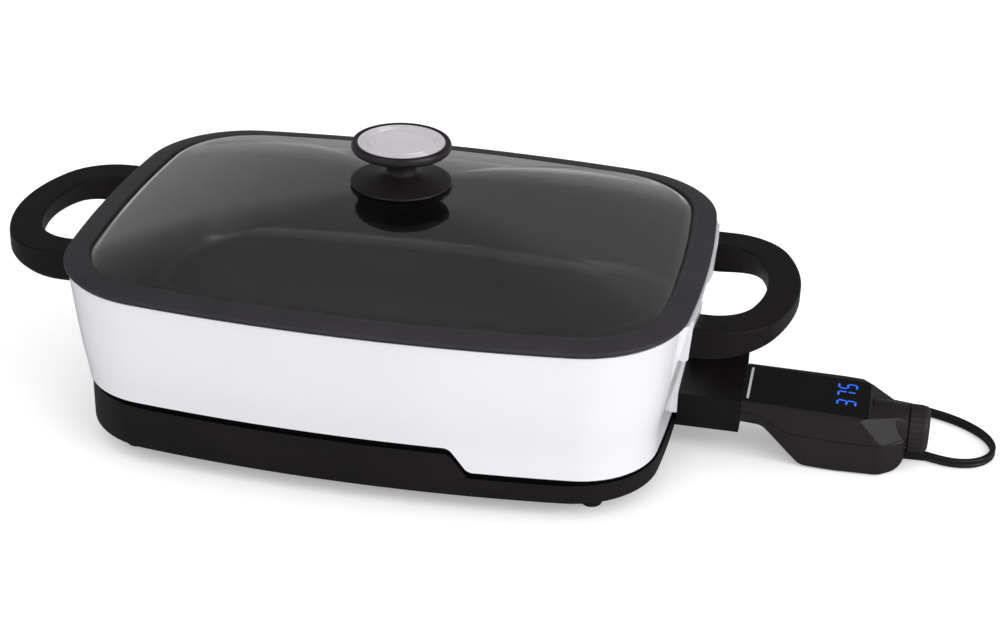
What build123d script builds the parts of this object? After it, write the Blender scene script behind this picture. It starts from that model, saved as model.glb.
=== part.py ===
from build123d import *
import os
from math import asin, cos, pi, radians, sin, sqrt, tan

os.makedirs("parts", exist_ok=True)

# Electric skillet with a lift-off glass lid and a plug-in heat control.
# +Z is up and +X points along the length, towards the heat control. The origin is
# on the resting surface, under the middle of the whole part. Lengths along X in
# this file are measured from the middle of the pan, which lies at pan_x.

# ---------------------------------------------------------------- driving dimensions
lid_length = 405.0
lid_width = 299.4
lid_corner = 71.5
end_bow = 3.1
side_bow = 8.1

rim_height = 123.0        # top outer edge of the lid above the surface
lid_edge = 2.3            # thickness of the lid band at its outer edge
band_width = 16.0         # lid band, outer edge to glass
band_rise = 3.0
glass_thickness = 4.0
glass_top = 157.8         # top of the domed glass
play = 0.1                # gap between faces that seat on each other

foot_height = 11.6
foot_x = 149.0
foot_y = 103.5

shell_wall = 2.4
shell_top = 118.4
shell_edge_high = 44.2    # lower edge of the white shell, left part
shell_edge_low = 28.2     # lower edge of the white shell, right part
sweep_start = 63.5        # the edge drops from high to low between these two
sweep_end = 75.5
groove = 3.8              # dark gap between the shell and the base

pan_floor = 50.0          # cooking surface
pan_floor_thickness = 5.0
pan_wall = 3.0

handle_top = 112.9
handle_root_bottom = 91.8  # the handles are deepest at the shell
handle_grip_bottom = 99.9
handle_reach = 261.5
handle_half_width = 74.0
handle_hole_half = 51.0
handle_hole_end = 240.5

guard_half = 26.4
guard_top = 41.8
guard_bottom = 18.5
guard_end = 231.7
guard_wall = 2.4
plug_axis = 33.5          # height of the probe and of the two terminal pins
pin_spacing = 26.0
pin_radius = 2.3
window_width = 37.0       # opening in the shell and base behind the guard
window_height = 14.0

control_start = 231.9
control_end = 338.5
control_bottom = 1.0
control_wall = 2.2
top_drop = 0.0375         # fall of the control's top towards the dial, per mm
panel_start = 233.2       # gloss panel on the control's top
panel_end = 313.0
dial_axis = 23.0
dial_radius = 15.6
dial_start = 339.3
dial_end = 352.5
shaft_radius = 3.0
running_gap = 0.06

cord_height = 6.5         # flat two-core cord, standing on edge
cord_thickness = 3.6
cord_corner = 1.7
cord_z = 3.4              # height of the cord's centre line
coil_x = 79.8
coil_y = 185.3
coil_turn_radius = 40.6   # centre line of the outer turn
coil_pitch = 4.3
coil_start_angle = 45.0
coil_turns = 2.12
hump_z = 10.3             # cord's centre line where it crosses the coil
plug_axis_z = 10.3
plug_width = 24.0
plug_height = 19.0
plug_length = 27.0

pan_x = (handle_reach - dial_end) / 2


# ---------------------------------------------------------------- planes, with x from the pan's middle
def level(height):
    return Plane(origin=(pan_x, 0, height))


def across(x):
    return Plane.YZ.offset(pan_x + x)


side_view = Plane(origin=(pan_x, 0, 0), x_dir=(1, 0, 0), z_dir=(0, -1, 0))
pan_axis = Axis((pan_x, 0, 0), (0, 0, 1))


# ---------------------------------------------------------------- shared outlines
def tray_outline(height, inset=0.0, size=1.0, squarer=0.0):
    # Plan shape of the skillet: four long bowed sides with tangent corner arcs.
    half_length = (lid_length / 2 - inset) * size
    half_width = (lid_width / 2 - inset) * size
    corner = (lid_corner - inset - squarer) * size
    end_rise = end_bow * size
    side_rise = side_bow * size
    corner_x = half_length - corner - end_rise
    corner_y = half_width - corner - side_rise
    end_radius = (corner_y**2 + end_rise**2) / (2 * end_rise) + corner
    side_radius = (corner_x**2 + side_rise**2) / (2 * side_rise) + corner
    end_turn = asin(corner_y / (end_radius - corner))
    side_turn = asin(corner_x / (side_radius - corner))
    end_x = half_length - end_radius * (1 - cos(end_turn))
    end_y = end_radius * sin(end_turn)
    side_x = side_radius * sin(side_turn)
    side_y = half_width - side_radius * (1 - cos(side_turn))
    mid_turn = (end_turn + pi / 2 - side_turn) / 2
    mid_x = corner_x + corner * cos(mid_turn)
    mid_y = corner_y + corner * sin(mid_turn)
    with BuildSketch(level(height)) as outline:
        with BuildLine():
            ThreePointArc((end_x, -end_y), (half_length, 0), (end_x, end_y))
            ThreePointArc((end_x, end_y), (mid_x, mid_y), (side_x, side_y))
            ThreePointArc((side_x, side_y), (0, half_width), (-side_x, side_y))
            ThreePointArc((-side_x, side_y), (-mid_x, mid_y), (-end_x, end_y))
            ThreePointArc((-end_x, end_y), (-half_length, 0), (-end_x, -end_y))
            ThreePointArc((-end_x, -end_y), (-mid_x, -mid_y), (-side_x, -side_y))
            ThreePointArc((-side_x, -side_y), (0, -half_width), (side_x, -side_y))
            ThreePointArc((side_x, -side_y), (mid_x, -mid_y), (end_x, -end_y))
        make_face()
    return outline.sketch


def tray_sections(profile, extra=0.0):
    # Outlines at the (height, inset, squarer) rows of a wall profile.
    return [tray_outline(height, inset + extra, 1.0, squarer) for height, inset, squarer in profile]


def sweep_region(drop=0.0):
    # Side view of everything below the shell's lower edge, which drops in an S.
    high = shell_edge_high - drop
    low = shell_edge_low - drop
    with BuildSketch(side_view) as region:
        with BuildLine():
            FilletPolyline((-260, high), (sweep_start, high), (sweep_end, low), (260, low), radius=7)
            Polyline((260, low), (260, -20), (-260, -20), (-260, high))
        make_face()
    return region.sketch


# ---------------------------------------------------------------- white outer shell
wall_profile = (
    (22.0, 13.8, 4.6),
    (44.0, 13.5, 4.6),
    (66.0, 9.4, 3.0),
    (92.0, 5.6, 1.4),
    (shell_top, 2.4, 0.4),
)
panel_profile = ((60.0, 10.6, 0.0), (95.0, 3.2, 0.0), (shell_top, -0.4, 0.0))
pad_profile = ((86.0, -0.8, 0.0), (shell_top, -3.6, 0.0))
pad_bottom = 88.0
seat_root = 150.0         # the raised seats start inside the hollow, where the cut removes them
screw_hole_radius = 2.4
handle_screw_z = 103.5
handle_screw_y = 62.0

with BuildPart() as end_panel:
    # raised middle of the end wall, which slopes back into the corners
    loft(sections=tray_sections(panel_profile))
    with BuildSketch(level(0)):
        with BuildLine():
            slope = Polyline((seat_root, 90), (188, 90), (206, 74), (206, 0))
            mirror(slope, about=Plane.XZ)
            Line((seat_root, 90), (seat_root, -90))
        make_face()
    extrude(amount=shell_top, mode=Mode.INTERSECT)

with BuildPart() as leg_pads:
    # seats that the two legs of a handle stand on
    loft(sections=tray_sections(pad_profile))
    with BuildSketch(level(pad_bottom)):
        with BuildLine():
            Polyline((seat_root, 40), (197, 40), (203, 46.5), (208, 46.5), (208, 76))
            Polyline((208, 76), (188, 92), (seat_root, 92), (seat_root, 40))
        make_face()
        mirror(about=Plane.XZ)
    extrude(amount=shell_top - pad_bottom, mode=Mode.INTERSECT)
    # rounded underside
    with BuildSketch(side_view):
        with BuildLine():
            Line((seat_root, pad_bottom), (196.8, pad_bottom))
            ThreePointArc((196.8, pad_bottom), (200.2, pad_bottom + 1.4), (201.6, pad_bottom + 4.8))
            Polyline((201.6, pad_bottom + 4.8), (215, pad_bottom + 4.8), (215, 130), (seat_root, 130))
            Line((seat_root, 130), (seat_root, pad_bottom))
        make_face()
    extrude(amount=100, both=True, mode=Mode.INTERSECT)

guard_pad_reach = 191.5
guard_pad_half = 29.0
with BuildPart() as guard_pad:
    # low seat behind the control guard
    with BuildSketch(side_view):
        with BuildLine():
            Polyline((180, 32), (188.6, 32), (guard_pad_reach, 35), (guard_pad_reach, 43))
            Polyline((guard_pad_reach, 43), (190, 46), (180, 46), (180, 32))
        make_face()
    extrude(amount=guard_pad_half, both=True)

with BuildPart() as outer_shell:
    loft(sections=tray_sections(wall_profile))
    for raised in (end_panel.part, leg_pads.part):
        add(raised)
        add(raised.mirror(across(0)))
    add(guard_pad.part)
    loft(sections=tray_sections(wall_profile, shell_wall), mode=Mode.SUBTRACT)
    extrude(sweep_region(), amount=200, both=True, mode=Mode.SUBTRACT)
    # window behind the control guard
    with BuildSketch(across(170)):
        with Locations((0, plug_axis)):
            Rectangle(window_width, window_height)
    extrude(amount=40, mode=Mode.SUBTRACT)
    # holes for the handle screws
    with BuildSketch(across(0)):
        with Locations((handle_screw_y, handle_screw_z), (-handle_screw_y, handle_screw_z)):
            Circle(screw_hole_radius)
    extrude(amount=220, both=True, mode=Mode.SUBTRACT)
outer_shell.part.label = "outer_shell"
export_step(outer_shell.part, "parts/outer_shell.step")

# ---------------------------------------------------------------- cast pan
rim_top = rim_height - lid_edge - play
pan_mouth = 14.0          # inset of the inner wall at the rim
pan_profile = ((pan_floor, 21.4, 0.0), (84.0, 17.8, 0.0), (rim_top, pan_mouth, 0.0))
pan_under = pan_floor - pan_floor_thickness
pan_foot_inset = 18.9
boss_radius = 6.0
probe_boss_radius = 6.4
boss_x = 105.0
boss_y = 72.0
boss_foot = 19.2
well_radius = 3.7
well_start = 120.0
well_end = 176.0

with BuildPart() as pan_hollow:
    loft(sections=tray_sections(pan_profile))
    fillet(pan_hollow.edges().group_by(Axis.Z)[0], radius=10)

with BuildPart() as pan:
    pan_outside = tray_sections(pan_profile[1:], -pan_wall)
    loft(sections=[tray_outline(pan_under, pan_foot_inset)] + pan_outside)
    fillet(pan.edges().group_by(Axis.Z)[0], radius=12)
    # rim that hangs on the shell
    extrude(tray_outline(shell_top + play, 3.2), amount=rim_top - shell_top - play)
    add(pan_hollow.part, mode=Mode.SUBTRACT)
    # bosses that the base screws run into
    with BuildSketch(level(boss_foot)):
        with GridLocations(2 * boss_x, 2 * boss_y, 2, 2):
            Circle(boss_radius)
            Circle(1.7, mode=Mode.SUBTRACT)
    extrude(amount=pan_under - boss_foot + 0.5)
    # boss for the probe, with its blind bore
    with BuildSketch(across(well_start)):
        with Locations((0, plug_axis)):
            Circle(probe_boss_radius)
        with Locations((0, (plug_axis + pan_under) / 2 + 0.2)):
            Rectangle(10, pan_under - plug_axis + 0.6)
    extrude(amount=well_end - well_start)
    with BuildSketch(across(well_start + 4)):
        with Locations((0, plug_axis)):
            Circle(well_radius)
    extrude(amount=well_end - well_start, mode=Mode.SUBTRACT)
pan.part.label = "pan"
export_step(pan.part, "parts/pan.step")

# ---------------------------------------------------------------- heating element
element_radius = 3.9
element_z = pan_under - element_radius - play
pin_y = pin_spacing / 2
element_end = 184.0
element_near = 148.0      # the ring's end next to the terminals
element_far = -128.0
element_half = 84.0
element_rise = 164.0      # where the two ends start to climb to the ring

with BuildPart() as heating_element:
    with BuildLine(level(0)) as element_path:
        FilletPolyline(
            (element_end, pin_y, plug_axis),
            (element_rise, pin_y, plug_axis),
            (element_near, pin_y, element_z),
            (element_near, element_half, element_z),
            (element_far, element_half, element_z),
            (element_far, -element_half, element_z),
            (element_near, -element_half, element_z),
            (element_near, -pin_y, element_z),
            (element_rise, -pin_y, plug_axis),
            (element_end, -pin_y, plug_axis),
            radius=8,
        )
    with BuildSketch(across(element_end)):
        with Locations((pin_y, plug_axis)):
            Circle(element_radius)
    sweep()
heating_element.part.label = "heating_element"
export_step(heating_element.part, "parts/heating_element.step")

pin_end = 223.0
with BuildPart() as terminal_pins:
    with BuildSketch(across(element_end + play)):
        with Locations((pin_y, plug_axis), (-pin_y, plug_axis)):
            Circle(pin_radius)
    extrude(amount=pin_end - element_end - play)
    fillet(terminal_pins.edges().group_by(Axis.X)[-1], radius=1.6)
terminal_pins.part.label = "terminal_pins"
export_step(terminal_pins.part, "parts/terminal_pins.step")

with BuildPart() as pin_insulators:
    with BuildSketch(across(element_end + play)):
        with Locations((pin_y, plug_axis), (-pin_y, plug_axis)):
            Circle(5)
            Circle(pin_radius + 0.05, mode=Mode.SUBTRACT)
    extrude(amount=6)
pin_insulators.part.label = "pin_insulators"
export_step(pin_insulators.part, "parts/pin_insulators.step")

# ---------------------------------------------------------------- base
base_wall = 2.4
neck_top = 47.6           # the wall steps in behind the shell and ends here
base_profile = ((foot_height, 13.0, -1.5), (neck_top, 12.8, -1.5))
neck_inset = 19.6
screw_boss_top = 19.0
foot_radius = 6.6
foot_peg_radius = 3.0
base_screw_head = 4.0
base_screw_shank = 1.6
slot_length = 44.0

with BuildPart() as base_hollow:
    loft(sections=tray_sections(base_profile, base_wall), ruled=True)
    extrude(sweep_region(groove + base_wall), amount=200, both=True, mode=Mode.INTERSECT)
    extrude(tray_outline(foot_height, neck_inset + base_wall), amount=neck_top - foot_height + 1)
    extrude(tray_outline(foot_height), amount=base_wall, mode=Mode.SUBTRACT)

with BuildPart() as base:
    loft(sections=tray_sections(base_profile), ruled=True)
    extrude(sweep_region(groove), amount=200, both=True, mode=Mode.INTERSECT)
    extrude(tray_outline(foot_height + 2, neck_inset), amount=neck_top - foot_height - 2)
    add(base_hollow.part, mode=Mode.SUBTRACT)
    # raised seats round the screws
    with BuildSketch(level(foot_height)):
        with GridLocations(2 * boss_x, 2 * boss_y, 2, 2):
            Circle(7)
    extrude(amount=screw_boss_top - foot_height)
    with Locations(level(foot_height).rotated((180, 0, 0))):
        with GridLocations(2 * boss_x, 2 * boss_y, 2, 2):
            CounterBoreHole(radius=2.3, counter_bore_radius=4.4, counter_bore_depth=3.6)
    # cooling slots in the floor
    with BuildSketch(level(foot_height)):
        with GridLocations(22, 60, 7, 2):
            SlotOverall(slot_length, 5, rotation=90)
    extrude(amount=4, mode=Mode.SUBTRACT)
    # sockets for the feet
    with BuildSketch(level(foot_height)):
        with GridLocations(2 * foot_x, 2 * foot_y, 2, 2):
            Circle(foot_peg_radius + play)
    extrude(amount=4, mode=Mode.SUBTRACT)
    # opening for the pins and the probe
    with BuildSketch(across(150)):
        with Locations((0, plug_axis)):
            Rectangle(window_width, window_height)
    extrude(amount=60, mode=Mode.SUBTRACT)
base.part.label = "base"
export_step(base.part, "parts/base.step")

with BuildPart() as feet:
    with BuildSketch(level(0)):
        with GridLocations(2 * foot_x, 2 * foot_y, 2, 2):
            Circle(foot_radius)
    extrude(amount=foot_height - play, taper=-6)
    with BuildSketch(level(foot_height - play)):
        with GridLocations(2 * foot_x, 2 * foot_y, 2, 2):
            Circle(foot_peg_radius)
    extrude(amount=3.5)
    fillet(feet.faces().group_by(Axis.Z)[0].edges(), radius=1.5)
feet.part.label = "feet"
export_step(feet.part, "parts/feet.step")

with BuildPart() as base_screws:
    with BuildSketch(level(foot_height + 1.4)):
        with GridLocations(2 * boss_x, 2 * boss_y, 2, 2):
            Circle(base_screw_head)
    extrude(amount=2.1)
    with BuildSketch(level(foot_height + 3.5)):
        with GridLocations(2 * boss_x, 2 * boss_y, 2, 2):
            Circle(base_screw_shank)
    extrude(amount=16)
base_screws.part.label = "base_screws"
export_step(base_screws.part, "parts/base_screws.step")


# ---------------------------------------------------------------- side handles
def loop_outline(root, reach, half_width, corner, end_radius):
    # Half of a bowed rectangle: straight legs, tangent corner arcs, bowed end.
    corner_y = half_width - corner
    corner_x = reach - end_radius + sqrt((end_radius - corner) ** 2 - corner_y**2)
    turn = asin(corner_y / (end_radius - corner))
    end_x = reach - end_radius * (1 - cos(turn))
    end_y = end_radius * sin(turn)
    mid = (turn + pi / 2) / 2
    mid_x = corner_x + corner * cos(mid)
    mid_y = corner_y + corner * sin(mid)
    with BuildSketch(level(handle_root_bottom)) as outline:
        with BuildLine():
            Line((root, -half_width), (corner_x, -half_width))
            ThreePointArc((corner_x, -half_width), (mid_x, -mid_y), (end_x, -end_y))
            ThreePointArc((end_x, -end_y), (reach, 0), (end_x, end_y))
            ThreePointArc((end_x, end_y), (mid_x, mid_y), (corner_x, half_width))
            Line((corner_x, half_width), (root, half_width))
            Line((root, half_width), (root, -half_width))
        make_face()
    return outline.sketch


handle_root = 180.0
handle_screw_head = 3.8
handle_screw_shank = 2.05
handle_depth = handle_top - handle_root_bottom
with BuildPart() as right_handle:
    extrude(loop_outline(handle_root, handle_reach, handle_half_width, 43, 115), amount=handle_depth)
    extrude(
        loop_outline(handle_root, handle_hole_end, handle_hole_half, 28, 90),
        amount=handle_depth,
        mode=Mode.SUBTRACT,
    )
    # the underside rises towards the grip
    with BuildSketch(side_view):
        with BuildLine():
            Line((handle_root, handle_root_bottom), (208, handle_root_bottom))
            rise = Bezier(
                (208, handle_root_bottom),
                (224, handle_root_bottom),
                (232, handle_grip_bottom),
                (handle_reach + 4, handle_grip_bottom),
            )
            Polyline(rise @ 1, (handle_reach + 4, 120), (handle_root, 120), (handle_root, handle_root_bottom))
        make_face()
    extrude(amount=100, both=True, mode=Mode.INTERSECT)
    fillet(right_handle.faces().sort_by(Axis.Z)[-1].edges().filter_by(Axis.Y, reverse=True), radius=1.6)
    underside = right_handle.faces().filter_by(lambda face: face.normal_at().Z < -0.7)
    along = [max(abs(edge.tangent_at(0).X), abs(edge.tangent_at(1).X)) for edge in underside.edges()]
    fillet([edge for edge, lean in zip(underside.edges(), along) if lean > 0.02], radius=4)
    # the legs end against their pads
    loft(sections=tray_sections(pad_profile, -play), mode=Mode.SUBTRACT)
    with BuildSketch(across(180)):
        with Locations((handle_screw_y, handle_screw_z), (-handle_screw_y, handle_screw_z)):
            Circle(handle_screw_shank + play)
    extrude(amount=32, mode=Mode.SUBTRACT)
right_handle.part.label = "right_handle"
export_step(right_handle.part, "parts/right_handle.step")

with BuildPart() as left_handle:
    add(right_handle.part.mirror(across(0)))
left_handle.part.label = "left_handle"
export_step(left_handle.part, "parts/left_handle.step")

screw_seat = 195.2
with BuildPart() as handle_screws:
    for side in (1, -1):
        head_plane = Plane(
            origin=(pan_x + side * (screw_seat - 4.6), 0, handle_screw_z), x_dir=(0, 1, 0), z_dir=(side, 0, 0)
        )
        with BuildSketch(head_plane):
            with Locations((handle_screw_y, 0), (-handle_screw_y, 0)):
                Circle(handle_screw_head)
        extrude(amount=2.2)
        with BuildSketch(head_plane.offset(2.2)):
            with Locations((handle_screw_y, 0), (-handle_screw_y, 0)):
                Circle(handle_screw_shank)
        extrude(amount=18)
handle_screws.part.label = "handle_screws"
export_step(handle_screws.part, "parts/handle_screws.step")

# ---------------------------------------------------------------- control guard
guard_start = 178.0       # inside the shell; the shell's outline trims it
upstand_top = 60.0
upstand_thickness = 2.6
base_under_guard = (26.0, 12.9, -1.5)
with BuildPart() as control_guard:
    with BuildSketch(across(guard_start)):
        with Locations((0, (guard_top + guard_bottom) / 2)):
            Rectangle(2 * guard_half, guard_top - guard_bottom)
    extrude(amount=guard_end - guard_start)
    fillet(control_guard.edges().filter_by(Axis.X), radius=1.2)
    # low wall along the far side
    with BuildSketch(side_view.offset(-guard_half - 0.9)):
        with BuildLine():
            Polyline((guard_start, guard_top - 2), (guard_end, guard_top - 2), (guard_end, upstand_top - 5))
            ThreePointArc(
                (guard_end, upstand_top - 5),
                (guard_end - 1.46, upstand_top - 1.46),
                (guard_end - 5, upstand_top),
            )
            Polyline((guard_end - 5, upstand_top), (guard_start, upstand_top), (guard_start, guard_top - 2))
        make_face()
    extrude(amount=upstand_thickness)
    # cavity that the control's contact block slides into
    with BuildSketch(across(guard_start - 8)):
        with Locations((0, (guard_top + guard_bottom) / 2)):
            Rectangle(2 * (guard_half - guard_wall), guard_top - guard_bottom - 2 * guard_wall)
    extrude(amount=80, mode=Mode.SUBTRACT)
    loft(sections=tray_sections(wall_profile, -play), mode=Mode.SUBTRACT)
    loft(sections=tray_sections((base_profile[0], base_under_guard), -play), ruled=True, mode=Mode.SUBTRACT)
    add(guard_pad.part.moved(Location((play, 0, 0))), mode=Mode.SUBTRACT)
control_guard.part.label = "control_guard"
export_step(control_guard.part, "parts/control_guard.step")

# ---------------------------------------------------------------- lid band and glass
band_bottom = rim_height - lid_edge
band_inner_z = rim_height + band_rise
lip_depth = 6.5
glass_edge_inset = 10.5


def dome_sections(drop=0.0, inset=0.0, lowest=0.0):
    # Outlines of the dome, from the band inwards, on a parabola.
    steps = (1.0, 0.9, 0.75, 0.6, 0.45, 0.3, 0.16)
    rise = glass_top - band_inner_z
    top_share = 1 - steps[-1] ** 2
    sections = []
    for size in steps:
        height = band_inner_z + rise * (1 - size**2) / top_share
        sections.append(tray_outline(height - drop - lowest * (size == 1.0), band_width + inset, size))
    return sections


with BuildPart() as lid_glass:
    loft(sections=dome_sections())
    extrude(tray_outline(band_inner_z - glass_thickness, glass_edge_inset), amount=glass_thickness - 1.2)
    extrude(tray_outline(band_inner_z - 1.3, band_width), amount=1.3)
    loft(sections=dome_sections(glass_thickness, 1.5, 0.2), mode=Mode.SUBTRACT)
    with BuildSketch(level(glass_top - 12)):
        Circle(3.4)
    extrude(amount=20, mode=Mode.SUBTRACT)
lid_glass.part.label = "lid_glass"
export_step(lid_glass.part, "parts/lid_glass.step")

with BuildPart() as lid_band:
    extrude(tray_outline(band_bottom), amount=lid_edge)
    loft(sections=[tray_outline(rim_height), tray_outline(rim_height + 1.9, 5.5)], ruled=True)
    loft(sections=[tray_outline(rim_height + 1.9, 5.5), tray_outline(band_inner_z, band_width)], ruled=True)
    # locating lip that drops inside the pan
    extrude(tray_outline(band_bottom - lip_depth, pan_mouth + 1.6), amount=lip_depth + 1)
    extrude(tray_outline(band_bottom - lip_depth - 1, pan_mouth + 4.6), amount=30, mode=Mode.SUBTRACT)
    # channel that grips the glass
    extrude(
        tray_outline(band_inner_z - glass_thickness - play, glass_edge_inset - play),
        amount=glass_thickness - 1.2 + 2 * play,
        mode=Mode.SUBTRACT,
    )
    extrude(tray_outline(band_inner_z - 2, band_width - play), amount=6, mode=Mode.SUBTRACT)
lid_band.part.label = "lid_band"
export_step(lid_band.part, "parts/lid_band.step")

# ---------------------------------------------------------------- lid knob
flange_radius = 33.0
knob_radius = 32.3
insert_radius = 28.1
knob_top = 186.2
knob_foot = 165.0
neck_of_knob = 10.4       # radius at the foot
bore_of_knob = 2.0
flange_bottom = 157.9
insert_seat = 183.6
insert_lip = insert_radius + 0.3

with BuildPart() as knob_washer:
    with BuildSketch(level(glass_top)):
        Circle(12)
        Circle(3.2, mode=Mode.SUBTRACT)
    extrude(amount=2.1)
knob_washer.part.label = "knob_washer"
export_step(knob_washer.part, "parts/knob_washer.step")

with BuildPart() as knob_flange:
    with BuildSketch(side_view):
        with BuildLine():
            Polyline((3.2, 160), (22, 160), (29.5, flange_bottom), (flange_radius - 0.5, flange_bottom))
            rim = Polyline(
                (flange_radius - 0.5, flange_bottom),
                (flange_radius, 158.3),
                (flange_radius, 158.9),
                (flange_radius - 0.9, 159.6),
                (30.4, 159.9),
            )
            ThreePointArc(rim @ 1, (18.6, 161.6), (neck_of_knob, knob_foot))
            Polyline((neck_of_knob, knob_foot), (3.2, knob_foot), (3.2, 160))
        make_face()
    revolve(axis=pan_axis)
knob_flange.part.label = "knob_flange"
export_step(knob_flange.part, "parts/knob_flange.step")

with BuildPart() as knob:
    with BuildSketch(side_view):
        with BuildLine():
            Polyline((bore_of_knob, knob_foot + play), (neck_of_knob, knob_foot + play), (9.9, 166.6))
            ThreePointArc((9.9, 166.6), (13.2, 174.6), (22, 178.6))
            Line((22, 178.6), (28.8, 179.2))
            ThreePointArc((28.8, 179.2), (knob_radius, 182.4), (30.2, knob_top))
            rim = Polyline((30.2, knob_top), (insert_lip, knob_top - 0.5), (insert_lip, insert_seat))
            Polyline(rim @ 1, (bore_of_knob, insert_seat), (bore_of_knob, knob_foot + play))
        make_face()
    revolve(axis=pan_axis)
knob.part.label = "knob"
export_step(knob.part, "parts/knob.step")

with BuildPart() as knob_insert:
    with BuildSketch(side_view):
        with BuildLine():
            under = insert_seat + play
            Polyline((0, under), (insert_radius, under), (insert_radius, 185.5), (insert_radius - 0.5, 185.8))
            Polyline((insert_radius - 0.5, 185.8), (0, 185.5), (0, under))
        make_face()
    revolve(axis=pan_axis)
    # engraved rings
    with BuildSketch(level(185.4)):
        for ring_radius in (26.1, 24.5, 22.2, 21.4):
            Circle(ring_radius + 0.2)
            Circle(ring_radius - 0.2, mode=Mode.SUBTRACT)
    extrude(amount=1, mode=Mode.SUBTRACT)
knob_insert.part.label = "knob_insert"
export_step(knob_insert.part, "parts/knob_insert.step")

glass_under = glass_top - glass_thickness
screw_washer_thickness = 1.2
screw_head_top = glass_under - screw_washer_thickness - play
with BuildPart() as knob_screw:
    with BuildSketch(level(screw_head_top - 3)):
        Circle(5)
    extrude(amount=3)
    fillet(knob_screw.edges().group_by(Axis.Z)[0], radius=1.4)
    with BuildSketch(level(screw_head_top)):
        Circle(1.9)
    extrude(amount=26)
knob_screw.part.label = "knob_screw"
export_step(knob_screw.part, "parts/knob_screw.step")

with BuildPart() as screw_washer:
    with BuildSketch(level(screw_head_top)):
        Circle(9)
        Circle(2.1, mode=Mode.SUBTRACT)
    extrude(amount=screw_washer_thickness)
screw_washer.part.label = "screw_washer"
export_step(screw_washer.part, "parts/screw_washer.step")


# ---------------------------------------------------------------- heat control housing
def control_top(x):
    # Height of the control's top surface, which falls towards the dial.
    return guard_top - top_drop * (x - control_start)


def top_plane(depth):
    # Plane parallel to the control's top, at a depth below it; its x starts at the pan's middle.
    return Plane(
        origin=(pan_x, 0, control_top(0) - depth),
        x_dir=(1, 0, -top_drop),
        z_dir=(top_drop, 0, 1),
    )


def control_side(inset):
    # Side view: sloping top, thin nose towards the skillet, deep body behind.
    with BuildSketch(side_view) as side:
        with BuildLine():
            nose = FilletPolyline(
                (control_start, 27.0),
                (246.0, 26.4),
                (273.0, control_bottom + 0.4),
                (300, control_bottom),
                radius=7,
            )
            Line(nose @ 1, (control_end - 9, control_bottom))
            ThreePointArc(
                (control_end - 9, control_bottom),
                (control_end - 9 + 9 * sin(pi / 4), control_bottom + 9 - 9 * cos(pi / 4)),
                (control_end, control_bottom + 9),
            )
            Polyline(
                (control_end, control_bottom + 9),
                (control_end, control_top(control_end)),
                (control_start, guard_top),
                nose @ 0,
            )
        make_face()
        if inset:
            offset(amount=-inset, kind=Kind.INTERSECTION, mode=Mode.REPLACE)
    return side.sketch


def control_plan(inset):
    # Seen from above: sides that swell a little, then turn in to the dial's neck.
    with BuildSketch(level(0)) as plan:
        with BuildLine():
            near = FilletPolyline(
                (control_start, -26.2),
                (296, -29.2),
                (323, -28.0),
                (control_end, -15.5),
                (control_end, 0),
                radius=9,
            )
            mirror(near, about=Plane.XZ)
            Line((control_start, -26.2), (control_start, 26.2))
        make_face()
        if inset:
            offset(amount=-inset, kind=Kind.INTERSECTION, mode=Mode.REPLACE)
    return plan.sketch


def seam_region(shift):
    # Side view of everything above the seam between the two housing halves.
    with BuildSketch(side_view) as region:
        with BuildLine():
            FilletPolyline(
                (200, 34.2 + shift),
                (243, 33.6 + shift),
                (263, dial_axis + shift),
                (400, dial_axis + shift),
                radius=9,
            )
            Polyline((400, dial_axis + shift), (400, 80), (200, 80), (200, 34.2 + shift))
        make_face()
    return region.sketch


with BuildPart() as control_form:
    extrude(control_side(0), amount=40, both=True)
    extrude(control_plan(0), amount=80, mode=Mode.INTERSECT)
    fillet(control_form.faces().sort_by(Axis.Z)[-1].edges().filter_by(Axis.Y, reverse=True), radius=1.6)

# The shoulder: two raked facets and a slope that run down to the round neck.
facet_x = 310.0
near_facet = Plane(origin=(pan_x + facet_x, -27, control_top(facet_x)), z_dir=(209, -294.5, 129.8))
far_facet = Plane(origin=(pan_x + facet_x, 27, control_top(facet_x)), z_dir=(209, 294.5, 129.8))
slope_x = panel_end + 1.4
top_slope = Plane(origin=(pan_x + slope_x, 0, control_top(slope_x)), z_dir=(0.25, 0, 1))

with BuildPart() as control_hollow:
    extrude(control_side(control_wall), amount=40, both=True)
    extrude(control_plan(control_wall), amount=80, mode=Mode.INTERSECT)
    for shoulder in (near_facet, far_facet, top_slope):
        split(bisect_by=shoulder.offset(-control_wall), keep=Keep.BOTTOM)

block_half = 20.5
block_low = 29.0
block_high = 38.0
block_start = 207.0
block_end = 246.0
panel_half = 24.4
panel_thickness = 0.9
pillar_places = ((280, -19.5), (280, 19.5), (312, -19.5), (312, 19.5))
pillar_top = 38.0
pillar_radius = 3.4
neck_start = 318.0
neck_radius = 15.6
neck_wall = 3.0
window_x = 298.0          # middle of the display
board_bottom = 30.0

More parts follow.
